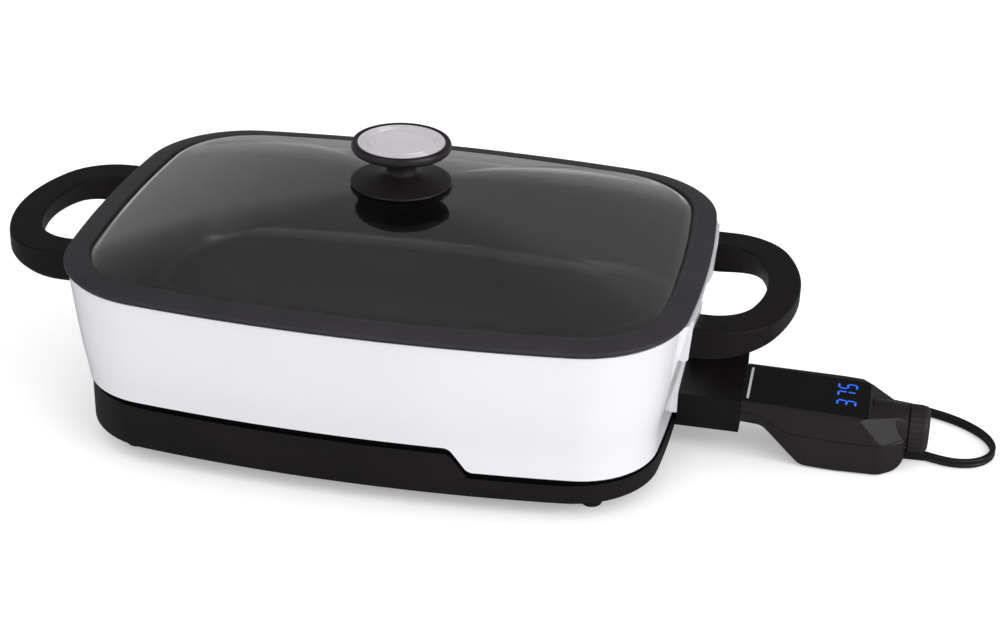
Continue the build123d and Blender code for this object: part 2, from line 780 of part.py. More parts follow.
with BuildPart() as control_cover:
    add(control_form.part)
    for shoulder in (near_facet, far_facet, top_slope):
        split(bisect_by=shoulder, keep=Keep.BOTTOM)
    with BuildSketch(across(neck_start)):
        with Locations((0, dial_axis)):
            Circle(neck_radius)
    extrude(amount=control_end - neck_start)
    add(control_hollow.part, mode=Mode.SUBTRACT)
    # end wall and bearing of the dial's shaft
    with BuildSketch(across(control_end - neck_wall)):
        with Locations((0, dial_axis)):
            Circle(neck_radius)
    extrude(amount=neck_wall)
    with BuildSketch(across(300)):
        with Locations((0, dial_axis)):
            Circle(shaft_radius + running_gap)
    extrude(amount=50, mode=Mode.SUBTRACT)
    # pillars that the housing screws bite into
    with BuildSketch(level(dial_axis)):
        with Locations(*pillar_places):
            Circle(pillar_radius)
    extrude(amount=pillar_top - dial_axis)
    with BuildSketch(level(dial_axis)):
        with Locations(*pillar_places):
            Circle(1.3)
    extrude(amount=11, mode=Mode.SUBTRACT)
    extrude(seam_region(0.1), amount=60, both=True, mode=Mode.INTERSECT)
    # recess for the gloss panel and window for the display
    with BuildSketch(top_plane(panel_thickness)):
        with BuildLine():
            FilletPolyline(
                (panel_start, -panel_half),
                (panel_end, -panel_half),
                (panel_end, panel_half),
                (panel_start, panel_half),
                radius=5,
            )
            Line((panel_start, panel_half), (panel_start, -panel_half))
        make_face()
    extrude(amount=3, mode=Mode.SUBTRACT)
    with BuildSketch(level(board_bottom)):
        with Locations((window_x, 0)):
            Rectangle(17, 40)
    extrude(amount=20, mode=Mode.SUBTRACT)
    # mouth for the contact block
    with BuildSketch(across(220)):
        with Locations((0, (block_low + block_high) / 2)):
            Rectangle(2 * block_half + 0.4, block_high - block_low + 0.4)
    extrude(amount=30, mode=Mode.SUBTRACT)
control_cover.part.label = "control_cover"
export_step(control_cover.part, "parts/control_cover.step")

relief_start = 324.0
relief_end = 352.0
relief_half = 3.3
with BuildPart() as control_base:
    add(control_form.part)
    add(control_hollow.part, mode=Mode.SUBTRACT)
    with BuildSketch(across(control_end - neck_wall)):
        with Locations((0, dial_axis)):
            Circle(neck_radius - 0.2)
    extrude(amount=neck_wall)
    with BuildSketch(across(300)):
        with Locations((0, dial_axis)):
            Circle(shaft_radius + running_gap)
    extrude(amount=50, mode=Mode.SUBTRACT)
    with BuildSketch(level(control_bottom + 0.5)):
        with Locations(*pillar_places):
            Circle(pillar_radius)
    extrude(amount=dial_axis - control_bottom)
    extrude(seam_region(-0.1), amount=60, both=True, mode=Mode.SUBTRACT)
    with BuildSketch(level(-5)):
        with Locations(*pillar_places):
            Circle(1.7)
    extrude(amount=40, mode=Mode.SUBTRACT)
    with BuildSketch(level(-5)):
        with Locations(*pillar_places):
            Circle(2.9)
    extrude(amount=5 + 3.4, mode=Mode.SUBTRACT)
    with BuildSketch(across(220)):
        with Locations((0, (block_low + block_high) / 2)):
            Rectangle(2 * block_half + 0.4, block_high - block_low + 0.4)
    extrude(amount=30, mode=Mode.SUBTRACT)
    # notch that holds the cord's strain relief
    with BuildSketch(across(relief_start - 1)):
        with Locations((0, cord_z)):
            Rectangle(2 * relief_half + 0.1, 7.2)
    extrude(amount=30, mode=Mode.SUBTRACT)
control_base.part.label = "control_base"
export_step(control_base.part, "parts/control_base.step")

with BuildPart() as control_screws:
    with BuildSketch(level(control_bottom + 0.3)):
        with Locations(*pillar_places):
            Circle(2.6)
    extrude(amount=2)
    with BuildSketch(level(control_bottom + 2.3)):
        with Locations(*pillar_places):
            Circle(1.2)
    extrude(amount=28)
control_screws.part.label = "control_screws"
export_step(control_screws.part, "parts/control_screws.step")

# ---------------------------------------------------------------- gloss panel, trim and display
trim_x = 235.6
panel_gap = 0.3
with BuildPart() as gloss_panel:
    left = panel_start + panel_gap
    right = panel_end - panel_gap
    half = panel_half - panel_gap
    with BuildSketch(top_plane(panel_thickness - 0.05)):
        with BuildLine():
            FilletPolyline((left, -half), (right, -half), (right, half), (left, half), radius=4.7)
            Line((left, half), (left, -half))
        make_face()
    extrude(amount=panel_thickness - 0.05)
    with BuildSketch(top_plane(0.5)):
        with Locations((trim_x, 0)):
            Rectangle(1.8, 42.4)
    extrude(amount=2, mode=Mode.SUBTRACT)
gloss_panel.part.label = "gloss_panel"
export_step(gloss_panel.part, "parts/gloss_panel.step")

with BuildPart() as trim_line:
    with BuildSketch(top_plane(0.45)):
        with Locations((trim_x, 0)):
            Rectangle(1.6, 42)
    extrude(amount=0.6)
trim_line.part.label = "trim_line"
export_step(trim_line.part, "parts/trim_line.step")

board_thickness = 1.6
display_foot = board_bottom + board_thickness + play
display_top = control_top(window_x + 8) - panel_thickness - play
with BuildPart() as display_module:
    with BuildSketch(level(display_foot)):
        with Locations((window_x, 0)):
            Rectangle(16, 38)
    extrude(amount=display_top - display_foot)
display_module.part.label = "display_module"
export_step(display_module.part, "parts/display_module.step")

with BuildPart() as circuit_board:
    with BuildSketch(level(board_bottom)):
        with Locations((283, 0)):
            Rectangle(58, 30)
    extrude(amount=board_thickness)
circuit_board.part.label = "circuit_board"
export_step(circuit_board.part, "parts/circuit_board.step")

relay_height = 15.9
with BuildPart() as relay:
    with BuildSketch(level(board_bottom - play - relay_height)):
        with Locations((290, 0)):
            Rectangle(20, 16)
    extrude(amount=relay_height)
relay.part.label = "relay"
export_step(relay.part, "parts/relay.step")

# ---------------------------------------------------------------- contacts and probe
with BuildPart() as contact_block:
    with BuildSketch(across(block_start)):
        with Locations((0, (block_low + block_high) / 2)):
            RectangleRounded(2 * block_half, block_high - block_low, 2)
    extrude(amount=block_end - block_start)
    with BuildSketch(across(block_start)):
        with Locations((pin_y, plug_axis), (-pin_y, plug_axis)):
            Circle(3.7)
    extrude(amount=24, mode=Mode.SUBTRACT)
    with BuildSketch(across(block_start)):
        with Locations((0, plug_axis)):
            Circle(3.2)
    extrude(amount=block_end - block_start, mode=Mode.SUBTRACT)
contact_block.part.label = "contact_block"
export_step(contact_block.part, "parts/contact_block.step")

with BuildPart() as contact_sleeves:
    with BuildSketch(across(block_start + 2)):
        with Locations((pin_y, plug_axis), (-pin_y, plug_axis)):
            Circle(3.6)
            Circle(pin_radius + 0.35, mode=Mode.SUBTRACT)
    extrude(amount=20)
contact_sleeves.part.label = "contact_sleeves"
export_step(contact_sleeves.part, "parts/contact_sleeves.step")

probe_radius = 3.15
probe_tip = 142.0
with BuildPart() as probe:
    with BuildSketch(across(probe_tip)):
        with Locations((0, plug_axis)):
            Circle(probe_radius)
    extrude(amount=block_end - probe_tip - 2)
    fillet(probe.edges().group_by(Axis.X)[0], radius=2.4)
probe.part.label = "probe"
export_step(probe.part, "parts/probe.step")

# ---------------------------------------------------------------- dial
grip_count = 20
grip_length = 8.0
groove_radius = 2.6
with BuildPart() as dial:
    with BuildSketch(across(dial_start)):
        with Locations((0, dial_axis)):
            Circle(dial_radius)
    extrude(amount=dial_end - dial_start)
    fillet(dial.edges().group_by(Axis.X)[-1], radius=3)
    fillet(dial.edges().group_by(Axis.X)[0], radius=0.8)
    with BuildSketch(across(dial_start - 1)):
        with Locations((0, dial_axis)):
            with PolarLocations(dial_radius + 1.9, grip_count):
                Circle(groove_radius)
    extrude(amount=1 + grip_length, mode=Mode.SUBTRACT)
    with BuildSketch(across(dial_start)):
        with Locations((0, dial_axis)):
            Circle(shaft_radius + 0.02)
    extrude(amount=8, mode=Mode.SUBTRACT)
dial.part.label = "dial"
export_step(dial.part, "parts/dial.step")

shaft_start = 322.0
with BuildPart() as dial_shaft:
    with BuildSketch(across(shaft_start)):
        with Locations((0, dial_axis)):
            Circle(shaft_radius)
    extrude(amount=dial_start + 7.5 - shaft_start)
dial_shaft.part.label = "dial_shaft"
export_step(dial_shaft.part, "parts/dial_shaft.step")

encoder_size = 13.0
with BuildPart() as encoder:
    with BuildSketch(across(shaft_start - 2)):
        with Locations((0, dial_axis)):
            Rectangle(encoder_size, encoder_size)
            Circle(shaft_radius + running_gap, mode=Mode.SUBTRACT)
    extrude(amount=control_end - neck_wall - shaft_start + 1.9)
    with BuildSketch(across(shaft_start - 4)):
        with Locations((0, dial_axis)):
            Rectangle(encoder_size, encoder_size)
    extrude(amount=2)
encoder.part.label = "encoder"
export_step(encoder.part, "parts/encoder.step")

# ---------------------------------------------------------------- cord, coil and plug
with BuildPart() as strain_relief:
    with BuildSketch(across(relief_start)):
        with Locations((0, cord_z)):
            RectangleRounded(2 * relief_half, cord_height, 1.2)
    with BuildSketch(across(relief_end)):
        with Locations((0, cord_z)):
            RectangleRounded(cord_thickness + 0.3, cord_height - 0.1, 1.2)
    loft()
strain_relief.part.label = "strain_relief"
export_step(strain_relief.part, "parts/strain_relief.step")

# The cord lies on the surface: out from under the dial, round in a narrow loop,
# back behind the control, past the end of the skillet, and into the coil.
cord_route = [
    (352.0, 0.0),
    (361.0, -3.2),
    (372.5, -4.9),
    (384.5, -1.8),
    (393.5, 7.0),
    (396.8, 19.5),
    (393.0, 32.5),
    (384.0, 43.5),
    (371.5, 52.5),
    (356.0, 59.0),
    (338.0, 63.5),
    (318.0, 66.0),
    (297.0, 66.5),
    (276.0, 68.5),
    (256.0, 73.0),
    (237.5, 81.5),
    (222.0, 94.0),
    (208.0, 108.5),
    (193.5, 124.5),
    (178.0, 142.0),
    (160.5, 160.5),
    (142.0, 179.5),
    (124.0, 198.5),
    (108.5, 214.0),
]


def corner_radii(points):
    # Radius at each corner of a route: 0.45 of the shorter run over tan(half the turn).
    radii = []
    for before, corner, after in zip(points, points[1:], points[2:]):
        run_in = Vector(*corner) - Vector(*before)
        run_out = Vector(*after) - Vector(*corner)
        half_turn = radians(run_in.get_angle(run_out)) / 2
        radii.append(0.45 * min(run_in.length, run_out.length) / tan(half_turn))
    return radii


cord_points = [(x, y, cord_z) for x, y in cord_route]
cord_radii = corner_radii(cord_points)
first_run = Vector(*cord_points[1]) - Vector(*cord_points[0])
cord_exit = level(0).from_local_coords(cord_points[0])
with BuildPart() as cord:
    with BuildLine(level(0)) as cord_line:
        FilletPolyline(*cord_points, radius=cord_radii)
    with BuildSketch(Plane(origin=cord_exit, x_dir=(0, 0, 1), z_dir=first_run)):
        RectangleRounded(cord_height, cord_thickness, cord_corner)
    sweep()
cord.part.label = "cord"
export_step(cord.part, "parts/cord.step")
cord_length = sum(edge.length for edge in cord_line.edges())
cord_section = cord_height * cord_thickness - (4 - pi) * cord_corner**2
print("cord corner radii", [round(radius, 1) for radius in cord_radii])
print("cord length", round(cord_length, 1))
print("cord volume over section times length", round(cord.part.volume / cord_section / cord_length, 4))

# The coil winds inwards, then its last run climbs over the outer turn to the plug.
leave_radius = coil_turn_radius - coil_pitch * coil_turns
leave_angle = coil_start_angle + 360 * coil_turns
leave_x = coil_x + leave_radius * cos(radians(leave_angle))
leave_y = coil_y + leave_radius * sin(radians(leave_angle))
coil_outer = coil_turn_radius + cord_thickness / 2 + 0.5
coil_inner = leave_radius - cord_thickness / 2 - 0.5
with BuildPart() as cord_coil:
    with BuildSketch(level(0.1)):
        with Locations((coil_x, coil_y)):
            Circle(coil_outer)
            Circle(coil_inner, mode=Mode.SUBTRACT)
    extrude(amount=cord_height + 0.3)
    with BuildSketch(level(0.1)):
        with Locations((leave_x, leave_y)):
            Rectangle(cord_thickness + 1, 50, rotation=leave_angle)
    extrude(amount=hump_z + cord_height / 2 - 0.1)
cord_coil.part.label = "cord_coil"
export_step(cord_coil.part, "parts/cord_coil.step")

# Plug: moulded body with a tapered tail, and two flat blades.
tail_start = 27.0
tail_end = 49.0
plug_end = tail_end + plug_length
blade_length = 16.0
blade_spacing = 12.7
plug_heading = leave_angle + 90
plug_plane = Plane(
    origin=(pan_x + leave_x, leave_y, plug_axis_z),
    x_dir=(cos(radians(plug_heading + 90)), sin(radians(plug_heading + 90)), 0),
    z_dir=(cos(radians(plug_heading)), sin(radians(plug_heading)), 0),
)
with BuildPart() as plug_body:
    with BuildSketch(plug_plane.offset(tail_start)):
        RectangleRounded(cord_thickness + 0.8, cord_height + 0.6, 1.8)
    with BuildSketch(plug_plane.offset(tail_end)):
        RectangleRounded(11, 11, 3)
    loft()
    with BuildSketch(plug_plane.offset(tail_end)):
        RectangleRounded(plug_width * 0.7, plug_height * 0.8, 5)
    with BuildSketch(plug_plane.offset(tail_end + 8)):
        RectangleRounded(plug_width, plug_height, 6)
    with BuildSketch(plug_plane.offset(plug_end)):
        RectangleRounded(plug_width, plug_height, 6)
    loft(ruled=True)
plug_body.part.label = "plug_body"
export_step(plug_body.part, "parts/plug_body.step")

with BuildPart() as plug_blades:
    with BuildSketch(plug_plane.offset(plug_end)):
        with Locations((blade_spacing / 2, 0), (-blade_spacing / 2, 0)):
            Rectangle(1.5, 6.4)
    extrude(amount=blade_length)
plug_blades.part.label = "plug_blades"
export_step(plug_blades.part, "parts/plug_blades.step")
print("coil length", round(2 * pi * (coil_turn_radius + leave_radius) / 2 * coil_turns + tail_start + 6, 1))
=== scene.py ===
import bpy
import math
from mathutils import Matrix, Vector
from mathutils.geometry import interpolate_bezier


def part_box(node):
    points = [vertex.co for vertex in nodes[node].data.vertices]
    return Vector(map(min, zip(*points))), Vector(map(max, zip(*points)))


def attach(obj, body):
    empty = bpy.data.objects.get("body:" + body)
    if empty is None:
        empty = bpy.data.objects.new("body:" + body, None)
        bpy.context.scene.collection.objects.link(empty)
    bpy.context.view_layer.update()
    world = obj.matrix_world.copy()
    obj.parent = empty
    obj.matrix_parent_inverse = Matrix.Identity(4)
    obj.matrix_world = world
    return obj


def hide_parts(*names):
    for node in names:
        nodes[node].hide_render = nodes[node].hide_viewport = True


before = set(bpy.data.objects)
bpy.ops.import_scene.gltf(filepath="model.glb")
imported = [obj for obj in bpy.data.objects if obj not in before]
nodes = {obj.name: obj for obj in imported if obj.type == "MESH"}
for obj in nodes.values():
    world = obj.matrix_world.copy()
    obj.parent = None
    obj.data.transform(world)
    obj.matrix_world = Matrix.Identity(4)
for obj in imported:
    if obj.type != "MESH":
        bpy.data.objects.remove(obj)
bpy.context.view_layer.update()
mm = 0.001
weld = 0.00001  # corners closer than this, in metres, become one
bandLow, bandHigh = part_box("lid_band")
panX = (bandLow.x + bandHigh.x) / 2  # x of the pan's middle; lengths below are measured from it


# small helpers
def place(x, y, z):
    return Vector((panX + x * mm, y * mm, z * mm))


def onlyActive(piece):
    bpy.ops.object.select_all(action="DESELECT")
    piece.select_set(True)
    bpy.context.view_layer.objects.active = piece
    return piece


def editMode(piece, mode="VERT"):
    onlyActive(piece)
    bpy.ops.object.mode_set(mode="EDIT")
    bpy.ops.mesh.select_mode(type=mode)
    bpy.ops.mesh.select_all(action="SELECT")


def objectMode():
    bpy.ops.object.mode_set(mode="OBJECT")


def outwards():
    # Last step of an edit: every face turns outwards.
    bpy.ops.mesh.select_all(action="SELECT")
    bpy.ops.mesh.normals_make_consistent(inside=False)
    objectMode()


def pick(piece, test, kind="polygons"):
    # Selects faces, edges or vertices of a mesh by a test on their middle and normal.
    editMode(piece, {"polygons": "FACE", "edges": "EDGE", "vertices": "VERT"}[kind])
    bpy.ops.mesh.select_all(action="DESELECT")
    objectMode()
    mesh = piece.data
    for part in getattr(mesh, kind):
        if kind == "edges":
            ends = [mesh.vertices[i].co for i in part.vertices]
            part.select = test(*ends)
        elif kind == "vertices":
            part.select = test(part.co)
        else:
            part.select = test(part.center, part.normal)
    bpy.ops.object.mode_set(mode="EDIT")


def modified(piece, name, kind, **settings):
    # Adds a modifier and applies it.
    modifier = onlyActive(piece).modifiers.new(name, kind)
    for key, value in settings.items():
        setattr(modifier, key, value)
    bpy.ops.object.modifier_apply(modifier=modifier.name)
    return piece


def softenEdges(piece, width, segments=3, angle=32):
    limit = {"limit_method": "ANGLE", "angle_limit": math.radians(angle)}
    modified(piece, "bevel", "BEVEL", width=width * mm, segments=segments, **limit)


def carve(piece, tool, operation="DIFFERENCE"):
    # Boolean with another piece, which is used up.
    modified(piece, "boolean", "BOOLEAN", operation=operation, object=tool, solver="EXACT")
    bpy.data.objects.remove(tool)
    return piece


def boxAt(name, low, high):
    # A plain block between two corners, used as a cutting tool.
    middle = [(a + b) / 2 for a, b in zip(low, high)]
    bpy.ops.object.select_all(action="DESELECT")
    bpy.ops.mesh.primitive_cube_add(size=1, location=place(*middle))
    block = bpy.context.active_object
    block.name = name
    block.dimensions = [(b - a) * mm for a, b in zip(low, high)]
    bpy.ops.object.transform_apply(location=True, rotation=True, scale=True)
    return block


def joined(name, pieces):
    onlyActive(pieces[0])
    for piece in pieces:
        piece.select_set(True)
    if len(pieces) > 1:
        bpy.ops.object.join()
    made = bpy.context.view_layer.objects.active
    made.name = name
    return made


def copyOf(piece, name):
    twin = piece.copy()
    twin.data = piece.data.copy()
    twin.name = name
    bpy.context.scene.collection.objects.link(twin)
    return twin


def settle(piece, name, body, finish, replaces=(), smoothAngle=35, evenFaces=True):
    # Last step of every modelled piece: its place in its mesh, its shading, body and finish.
    onlyActive(piece)
    piece.name = name
    bpy.ops.object.transform_apply(location=True, rotation=True, scale=True)
    editMode(piece)
    bpy.ops.mesh.remove_doubles(threshold=2 * weld)
    outwards()
    if smoothAngle:
        bpy.ops.object.shade_smooth_by_angle(angle=math.radians(smoothAngle))
        if evenFaces:
            # large faces keep their own direction, so only the rounded edges shade
            modified(piece, "weighted", "WEIGHTED_NORMAL", keep_sharp=True)
    piece.data.materials.clear()
    piece.data.materials.append(finish)
    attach(piece, body)
    if replaces:
        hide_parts(*replaces)
    return piece


# outlines
def segmentHandle(start, end):
    # Handle length that makes a circular arc of a Bezier segment between two (x, y, angle) points.
    chord = math.hypot(end[0] - start[0], end[1] - start[1])
    turn = abs((end[2] - start[2] + 180) % 360 - 180)
    if turn < 0.5:
        return chord / 3
    turn = math.radians(turn)
    return 4 / 3 * math.tan(turn / 4) * chord / (2 * math.sin(turn / 2))


def newCurve(name, kind, count, closed=True):
    data = bpy.data.curves.new(name, "CURVE")
    data.dimensions = "3D"
    spline = data.splines.new(kind)
    knots = spline.bezier_points if kind == "BEZIER" else spline.points
    knots.add(count - 1)
    spline.use_cyclic_u = closed
    curve = bpy.data.objects.new(name, data)
    bpy.context.scene.collection.objects.link(curve)
    return curve, spline, knots


def spotIn(view, at):
    # The function that puts two lengths into the top, side or end view, or on the flat page.
    return {
        "top": lambda x, y: place(x, y, at),
        "side": lambda x, y: place(x, at, y),
        "end": lambda x, y: place(at, x, y),
        "flat": lambda x, y: Vector((x * mm, y * mm, 0)),
    }[view]


def outlineCurve(name, points, view="top", at=0.0, steps=12):
    # Closed Bezier outline; a point is (x, y, angle) where the line runs smooth, (x, y) at a corner.
    put = spotIn(view, at)
    count = len(points)
    curve, _, knots = newCurve(name, "BEZIER", count)
    curve.data.resolution_u = steps
    for i, (spot, knot) in enumerate(zip(points, knots)):
        knot.handle_left_type = knot.handle_right_type = "FREE"
        knot.co = put(*spot[:2])
        for side, other in ((-1, points[i - 1]), (1, points[(i + 1) % count])):
            if len(spot) == 2:
                reach = [(b - a) / 3 for a, b in zip(spot, other)]
            else:
                far = other if len(other) == 3 else (*other, spot[2])
                length = segmentHandle(spot, far) if side == 1 else segmentHandle(far, spot)
                heading = math.radians(spot[2])
                reach = (math.cos(heading) * length * side, math.sin(heading) * length * side)
            handle = put(spot[0] + reach[0], spot[1] + reach[1])
            if side == 1:
                knot.handle_right = handle
            else:
                knot.handle_left = handle
    return curve


def polyCurve(name, points, view="flat", at=0.0):
    # A closed straight-sided outline through (x, y) points.
    put = spotIn(view, at)
    curve, _, knots = newCurve(name, "POLY", len(points))
    for knot, (x, y) in zip(knots, points):
        knot.co = (*put(x, y), 1)
    return curve


def toMesh(curve):
    onlyActive(curve)
    bpy.ops.object.convert(target="MESH")
    return bpy.context.view_layer.objects.active


def slab(curve, direction, depth):
    # Fills a closed outline and extrudes it.
    piece = toMesh(curve)
    editMode(piece)
    bpy.ops.mesh.remove_doubles(threshold=weld)
    bpy.ops.mesh.edge_face_add()
    push = Vector(direction) * depth * mm
    bpy.ops.mesh.extrude_region_move(TRANSFORM_OT_translate={"value": push})
    outwards()
    return piece


def turned(curve, axis=(0, 0, 1), at=0.0, steps=96):
    # Spins a profile wire all the way round an axis.
    piece = toMesh(curve)
    editMode(piece)
    bpy.ops.mesh.spin(steps=steps, dupli=False, angle=math.tau, center=place(0, 0, at), axis=axis)
    bpy.ops.mesh.select_all(action="SELECT")
    bpy.ops.mesh.remove_doubles(threshold=3 * weld)
    outwards()
    return piece


tray = {"length": 405.0, "width": 299.4, "corner": 71.5, "endBow": 3.1, "sideBow": 8.1}


def trayPoints(inset=0.0, size=1.0, squarer=0.0):
    # Plan shape of the skillet: four bowed sides with tangent corner arcs.
    halfLength = (tray["length"] / 2 - inset) * size
    halfWidth = (tray["width"] / 2 - inset) * size
    corner = (tray["corner"] - inset - squarer) * size
    endBow, sideBow = tray["endBow"] * size, tray["sideBow"] * size
    cornerX = halfLength - corner - endBow
    cornerY = halfWidth - corner - sideBow
    endRadius = (cornerY**2 + endBow**2) / (2 * endBow) + corner
    sideRadius = (cornerX**2 + sideBow**2) / (2 * sideBow) + corner
    endTurn = math.asin(cornerY / (endRadius - corner))
    sideTurn = math.asin(cornerX / (sideRadius - corner))
    endX = halfLength - endRadius * (1 - math.cos(endTurn))
    endY = endRadius * math.sin(endTurn)
    sideX = sideRadius * math.sin(sideTurn)
    sideY = halfWidth - sideRadius * (1 - math.cos(sideTurn))
    lean, slope = math.degrees(endTurn), math.degrees(sideTurn)
    return [
        (endX, endY, 90 + lean),
        (sideX, sideY, 180 - slope),
        (-sideX, sideY, 180 + slope),
        (-endX, endY, 270 - lean),
        (-endX, -endY, 270 + lean),
        (-sideX, -sideY, 360 - slope),
        (sideX, -sideY, slope),
        (endX, -endY, 90 - lean),
    ]


def smoothRows(rows, extra=0.0, cuts=3):
    # Rows on a smooth line through the given (inset, height, squarer) rows, set in by an extra inset.
    spots = [Vector(row) + Vector((extra, 0, 0)) for row in rows]
    line = []
    last = len(spots) - 1
    for i in range(last):
        before, start, end, after = (spots[min(max(j, 0), last)] for j in range(i - 1, i + 3))
        handles = start + (end - before) / 6, end - (after - start) / 6
        line += interpolate_bezier(start, *handles, end, cuts + 2)[:-1]
    return line + [spots[-1]]


def bridged(name, loops, closed=True):
    # Skin through a row of loops, with its two ends closed or open.
    body = joined(name, loops)
    editMode(body, "EDGE")
    bpy.ops.mesh.remove_doubles(threshold=weld)
    bpy.ops.mesh.bridge_edge_loops()
    if closed:
        bpy.ops.mesh.select_all(action="SELECT")
        bpy.ops.mesh.fill_holes(sides=0)
        outwards()
    objectMode()
    return body


def trayBody(name, rows, steps=14):
    # Body through the skillet's outline at (inset, height, squarer) rows, from the bottom up.
    loops = []
    for inset, height, squarer in rows:
        points = trayPoints(inset, 1, squarer)
        loops.append(toMesh(outlineCurve("loop", points, at=height, steps=steps)))
    return bridged(name, loops)


def trayRing(name, profile, steps=20):
    # Sweeps a closed (inset, height) profile round the skillet's outline.
    path = outlineCurve(name, trayPoints(), steps=steps)
    path.data.dimensions = "2D"
    section = polyCurve(name + "Section", profile)
    path.data.bevel_mode = "OBJECT"
    path.data.bevel_object = section
    ring = toMesh(path)
    bpy.data.objects.remove(section)
    return ring


# shader helpers
class Wire:
    # One output of a node; adding to it or multiplying it makes a Math node.
    def __init__(self, finish, socket):
        self.finish = finish
        self.socket = socket

    def math(self, operation, other):
        return self.finish.node("ShaderNodeMath", {"operation": operation}, {0: self, 1: other})

    def __add__(self, other):
        return self.math("ADD", other)

    def __mul__(self, other):
        return self.math("MULTIPLY", other)

    __radd__ = __add__


class Finish:
    # A material, or the world, under construction.
    def __init__(self, name, owner=None):
        self.material = owner or bpy.data.materials.new(name)
        self.material.use_nodes = True
        self.tree = self.material.node_tree
        self.tree.nodes.clear()

    def node(self, kind, settings=None, inputs=None, output=0):
        made = self.tree.nodes.new(kind)
        for key, value in (settings or {}).items():
            if key == "stops":
                ramp = made.color_ramp
                while len(ramp.elements) < len(value):
                    ramp.elements.new(1.0)
                for element, (position, colour) in zip(ramp.elements, value):
                    element.position = position
                    element.color = colour if len(colour) == 4 else (*colour, 1)
            else:
                setattr(made, key, value)
        for key, value in (inputs or {}).items():
            if isinstance(value, Wire):
                self.tree.links.new(value.socket, made.inputs[key])
            else:
                made.inputs[key].default_value = value
        return Wire(self, made.outputs[output] if len(made.outputs) else None)

    def noise(self, scale, detail=3.0, roughness=0.5):
        spot = self.node("ShaderNodeTexCoord", output="Object")
        inputs = {"Vector": spot, "Scale": scale, "Detail": detail, "Roughness": roughness}
        return self.node("ShaderNodeTexNoise", inputs=inputs)

    def ramp(self, factor, *stops):
        return self.node("ShaderNodeValToRGB", {"stops": stops}, {"Fac": factor})

    def bump(self, height, distance, strength=1.0):
        inputs = {"Height": height, "Distance": distance, "Strength": strength}
        return self.node("ShaderNodeBump", inputs=inputs)

    def surface(self, **inputs):
        named = {key.replace("_", " "): value for key, value in inputs.items()}
        shader = self.node("ShaderNodeBsdfPrincipled", inputs=named)
        self.node("ShaderNodeOutputMaterial", inputs={"Surface": shader})
        return self.material


def grey(level, tint=(1, 1, 1)):
    # Linear colour from a display level of 0 to 255.
    share = level / 255
    linear = ((share + 0.055) / 1.055) ** 2.4 if share > 0.04045 else share / 12.92
    return (linear * tint[0], linear * tint[1], linear * tint[2], 1)


print("frame loaded, pan middle at", round(panX, 4))

# camera
cameraAt = {
    "position": (293.1, -1193.0, 691.45),
    "azimuth": 10.704,
    "elevation": 26.988,
    "roll": 1.817,
    "lens": 74.41,
    "sensor": 36,
}
azimuth, elevation, roll = (math.radians(cameraAt[key]) for key in ("azimuth", "elevation", "roll"))
flat = math.cos(elevation)
backward = Vector((math.sin(azimuth) * flat, -math.cos(azimuth) * flat, math.sin(elevation)))
level = (-backward).cross(Vector((0, 0, 1))).normalized()
upward = level.cross(-backward)
sideways = math.cos(roll) * level + math.sin(roll) * upward
upright = math.cos(roll) * upward - math.sin(roll) * level
cameraData = bpy.data.cameras.new("camera")
cameraData.lens = cameraAt["lens"]
cameraData.sensor_width = cameraAt["sensor"]
camera = bpy.data.objects.new("camera", cameraData)
turn = Matrix((sideways, upright, backward)).transposed()
camera.matrix_world = Matrix.Translation(place(*cameraAt["position"])) @ turn.to_4x4()
bpy.context.scene.collection.objects.link(camera)
bpy.context.scene.camera = camera
bpy.context.scene.view_settings.view_transform = "Standard"
print("camera placed")


# finishes
warm = (1.13, 0.9, 1.06)


def plasticFinish(
    name, dark, light, roughness=0.42, spread=0.12, grain=2200, depth=0.00003, shine=0.35, tint=warm
):
    make = Finish(name)
    cloud = make.noise(28, 4)
    pores = make.noise(grain, 3, 0.6)
    return make.surface(
        Base_Color=make.ramp(cloud, (0.32, grey(dark, tint)), (0.68, grey(light, tint))),
        Roughness=roughness - spread / 2 + cloud * spread,
        Normal=make.bump(pores, depth, 0.6),
        Specular_IOR_Level=shine,
    )


def enamelFinish():
    make = Finish("whiteEnamel")
    tint = (1.0, 0.99, 1.04)
    cloud = make.noise(9, 3)
    peel = make.noise(160, 2, 0.4)
    return make.surface(
        Base_Color=make.ramp(cloud, (0.3, grey(232, tint)), (0.7, grey(237, tint))),
        Roughness=0.2 + peel * 0.05,
        Normal=make.bump(peel, 0.00002, 0.35),
        Coat_Weight=0.3,
        Coat_Roughness=0.12,
    )


def glassFinish():
    make = Finish("clearGlass")
    streak = make.noise(14, 3)
    return make.surface(
        Base_Color=make.ramp(streak, (0.3, (0.9, 0.92, 0.92, 1)), (0.7, (0.95, 0.96, 0.96, 1))),
        Roughness=0.005 + streak * 0.012,
        IOR=1.5,
        Transmission_Weight=1.0,
    )


def metalFinish(name, dark, light, roughness, tint=(1, 1, 1), scale=300, depth=0.00001, metallic=1.0):
    make = Finish(name)
    cloud = make.noise(scale / 6, 4)
    scratch = make.noise(scale, 4, 0.6)
    return make.surface(
        Base_Color=make.ramp(cloud, (0.3, grey(dark, tint)), (0.7, grey(light, tint))),
        Metallic=metallic,
        Roughness=roughness - 0.05 + scratch * 0.1,
        Normal=make.bump(scratch, depth, 0.5),
    )


def glowFinish():
    make = Finish("displayBlue")
    flicker = make.noise(700, 2)
    return make.surface(
        Base_Color=make.ramp(flicker, (0.3, (0.01, 0.05, 0.4, 1)), (0.7, (0.02, 0.08, 0.5, 1))),
        Roughness=0.3 + flicker * 0.1,
        Emission_Color=make.ramp(flicker, (0.3, (0.008, 0.1, 0.74, 1)), (0.7, (0.014, 0.14, 0.86, 1))),
        Emission_Strength=1.0,
    )


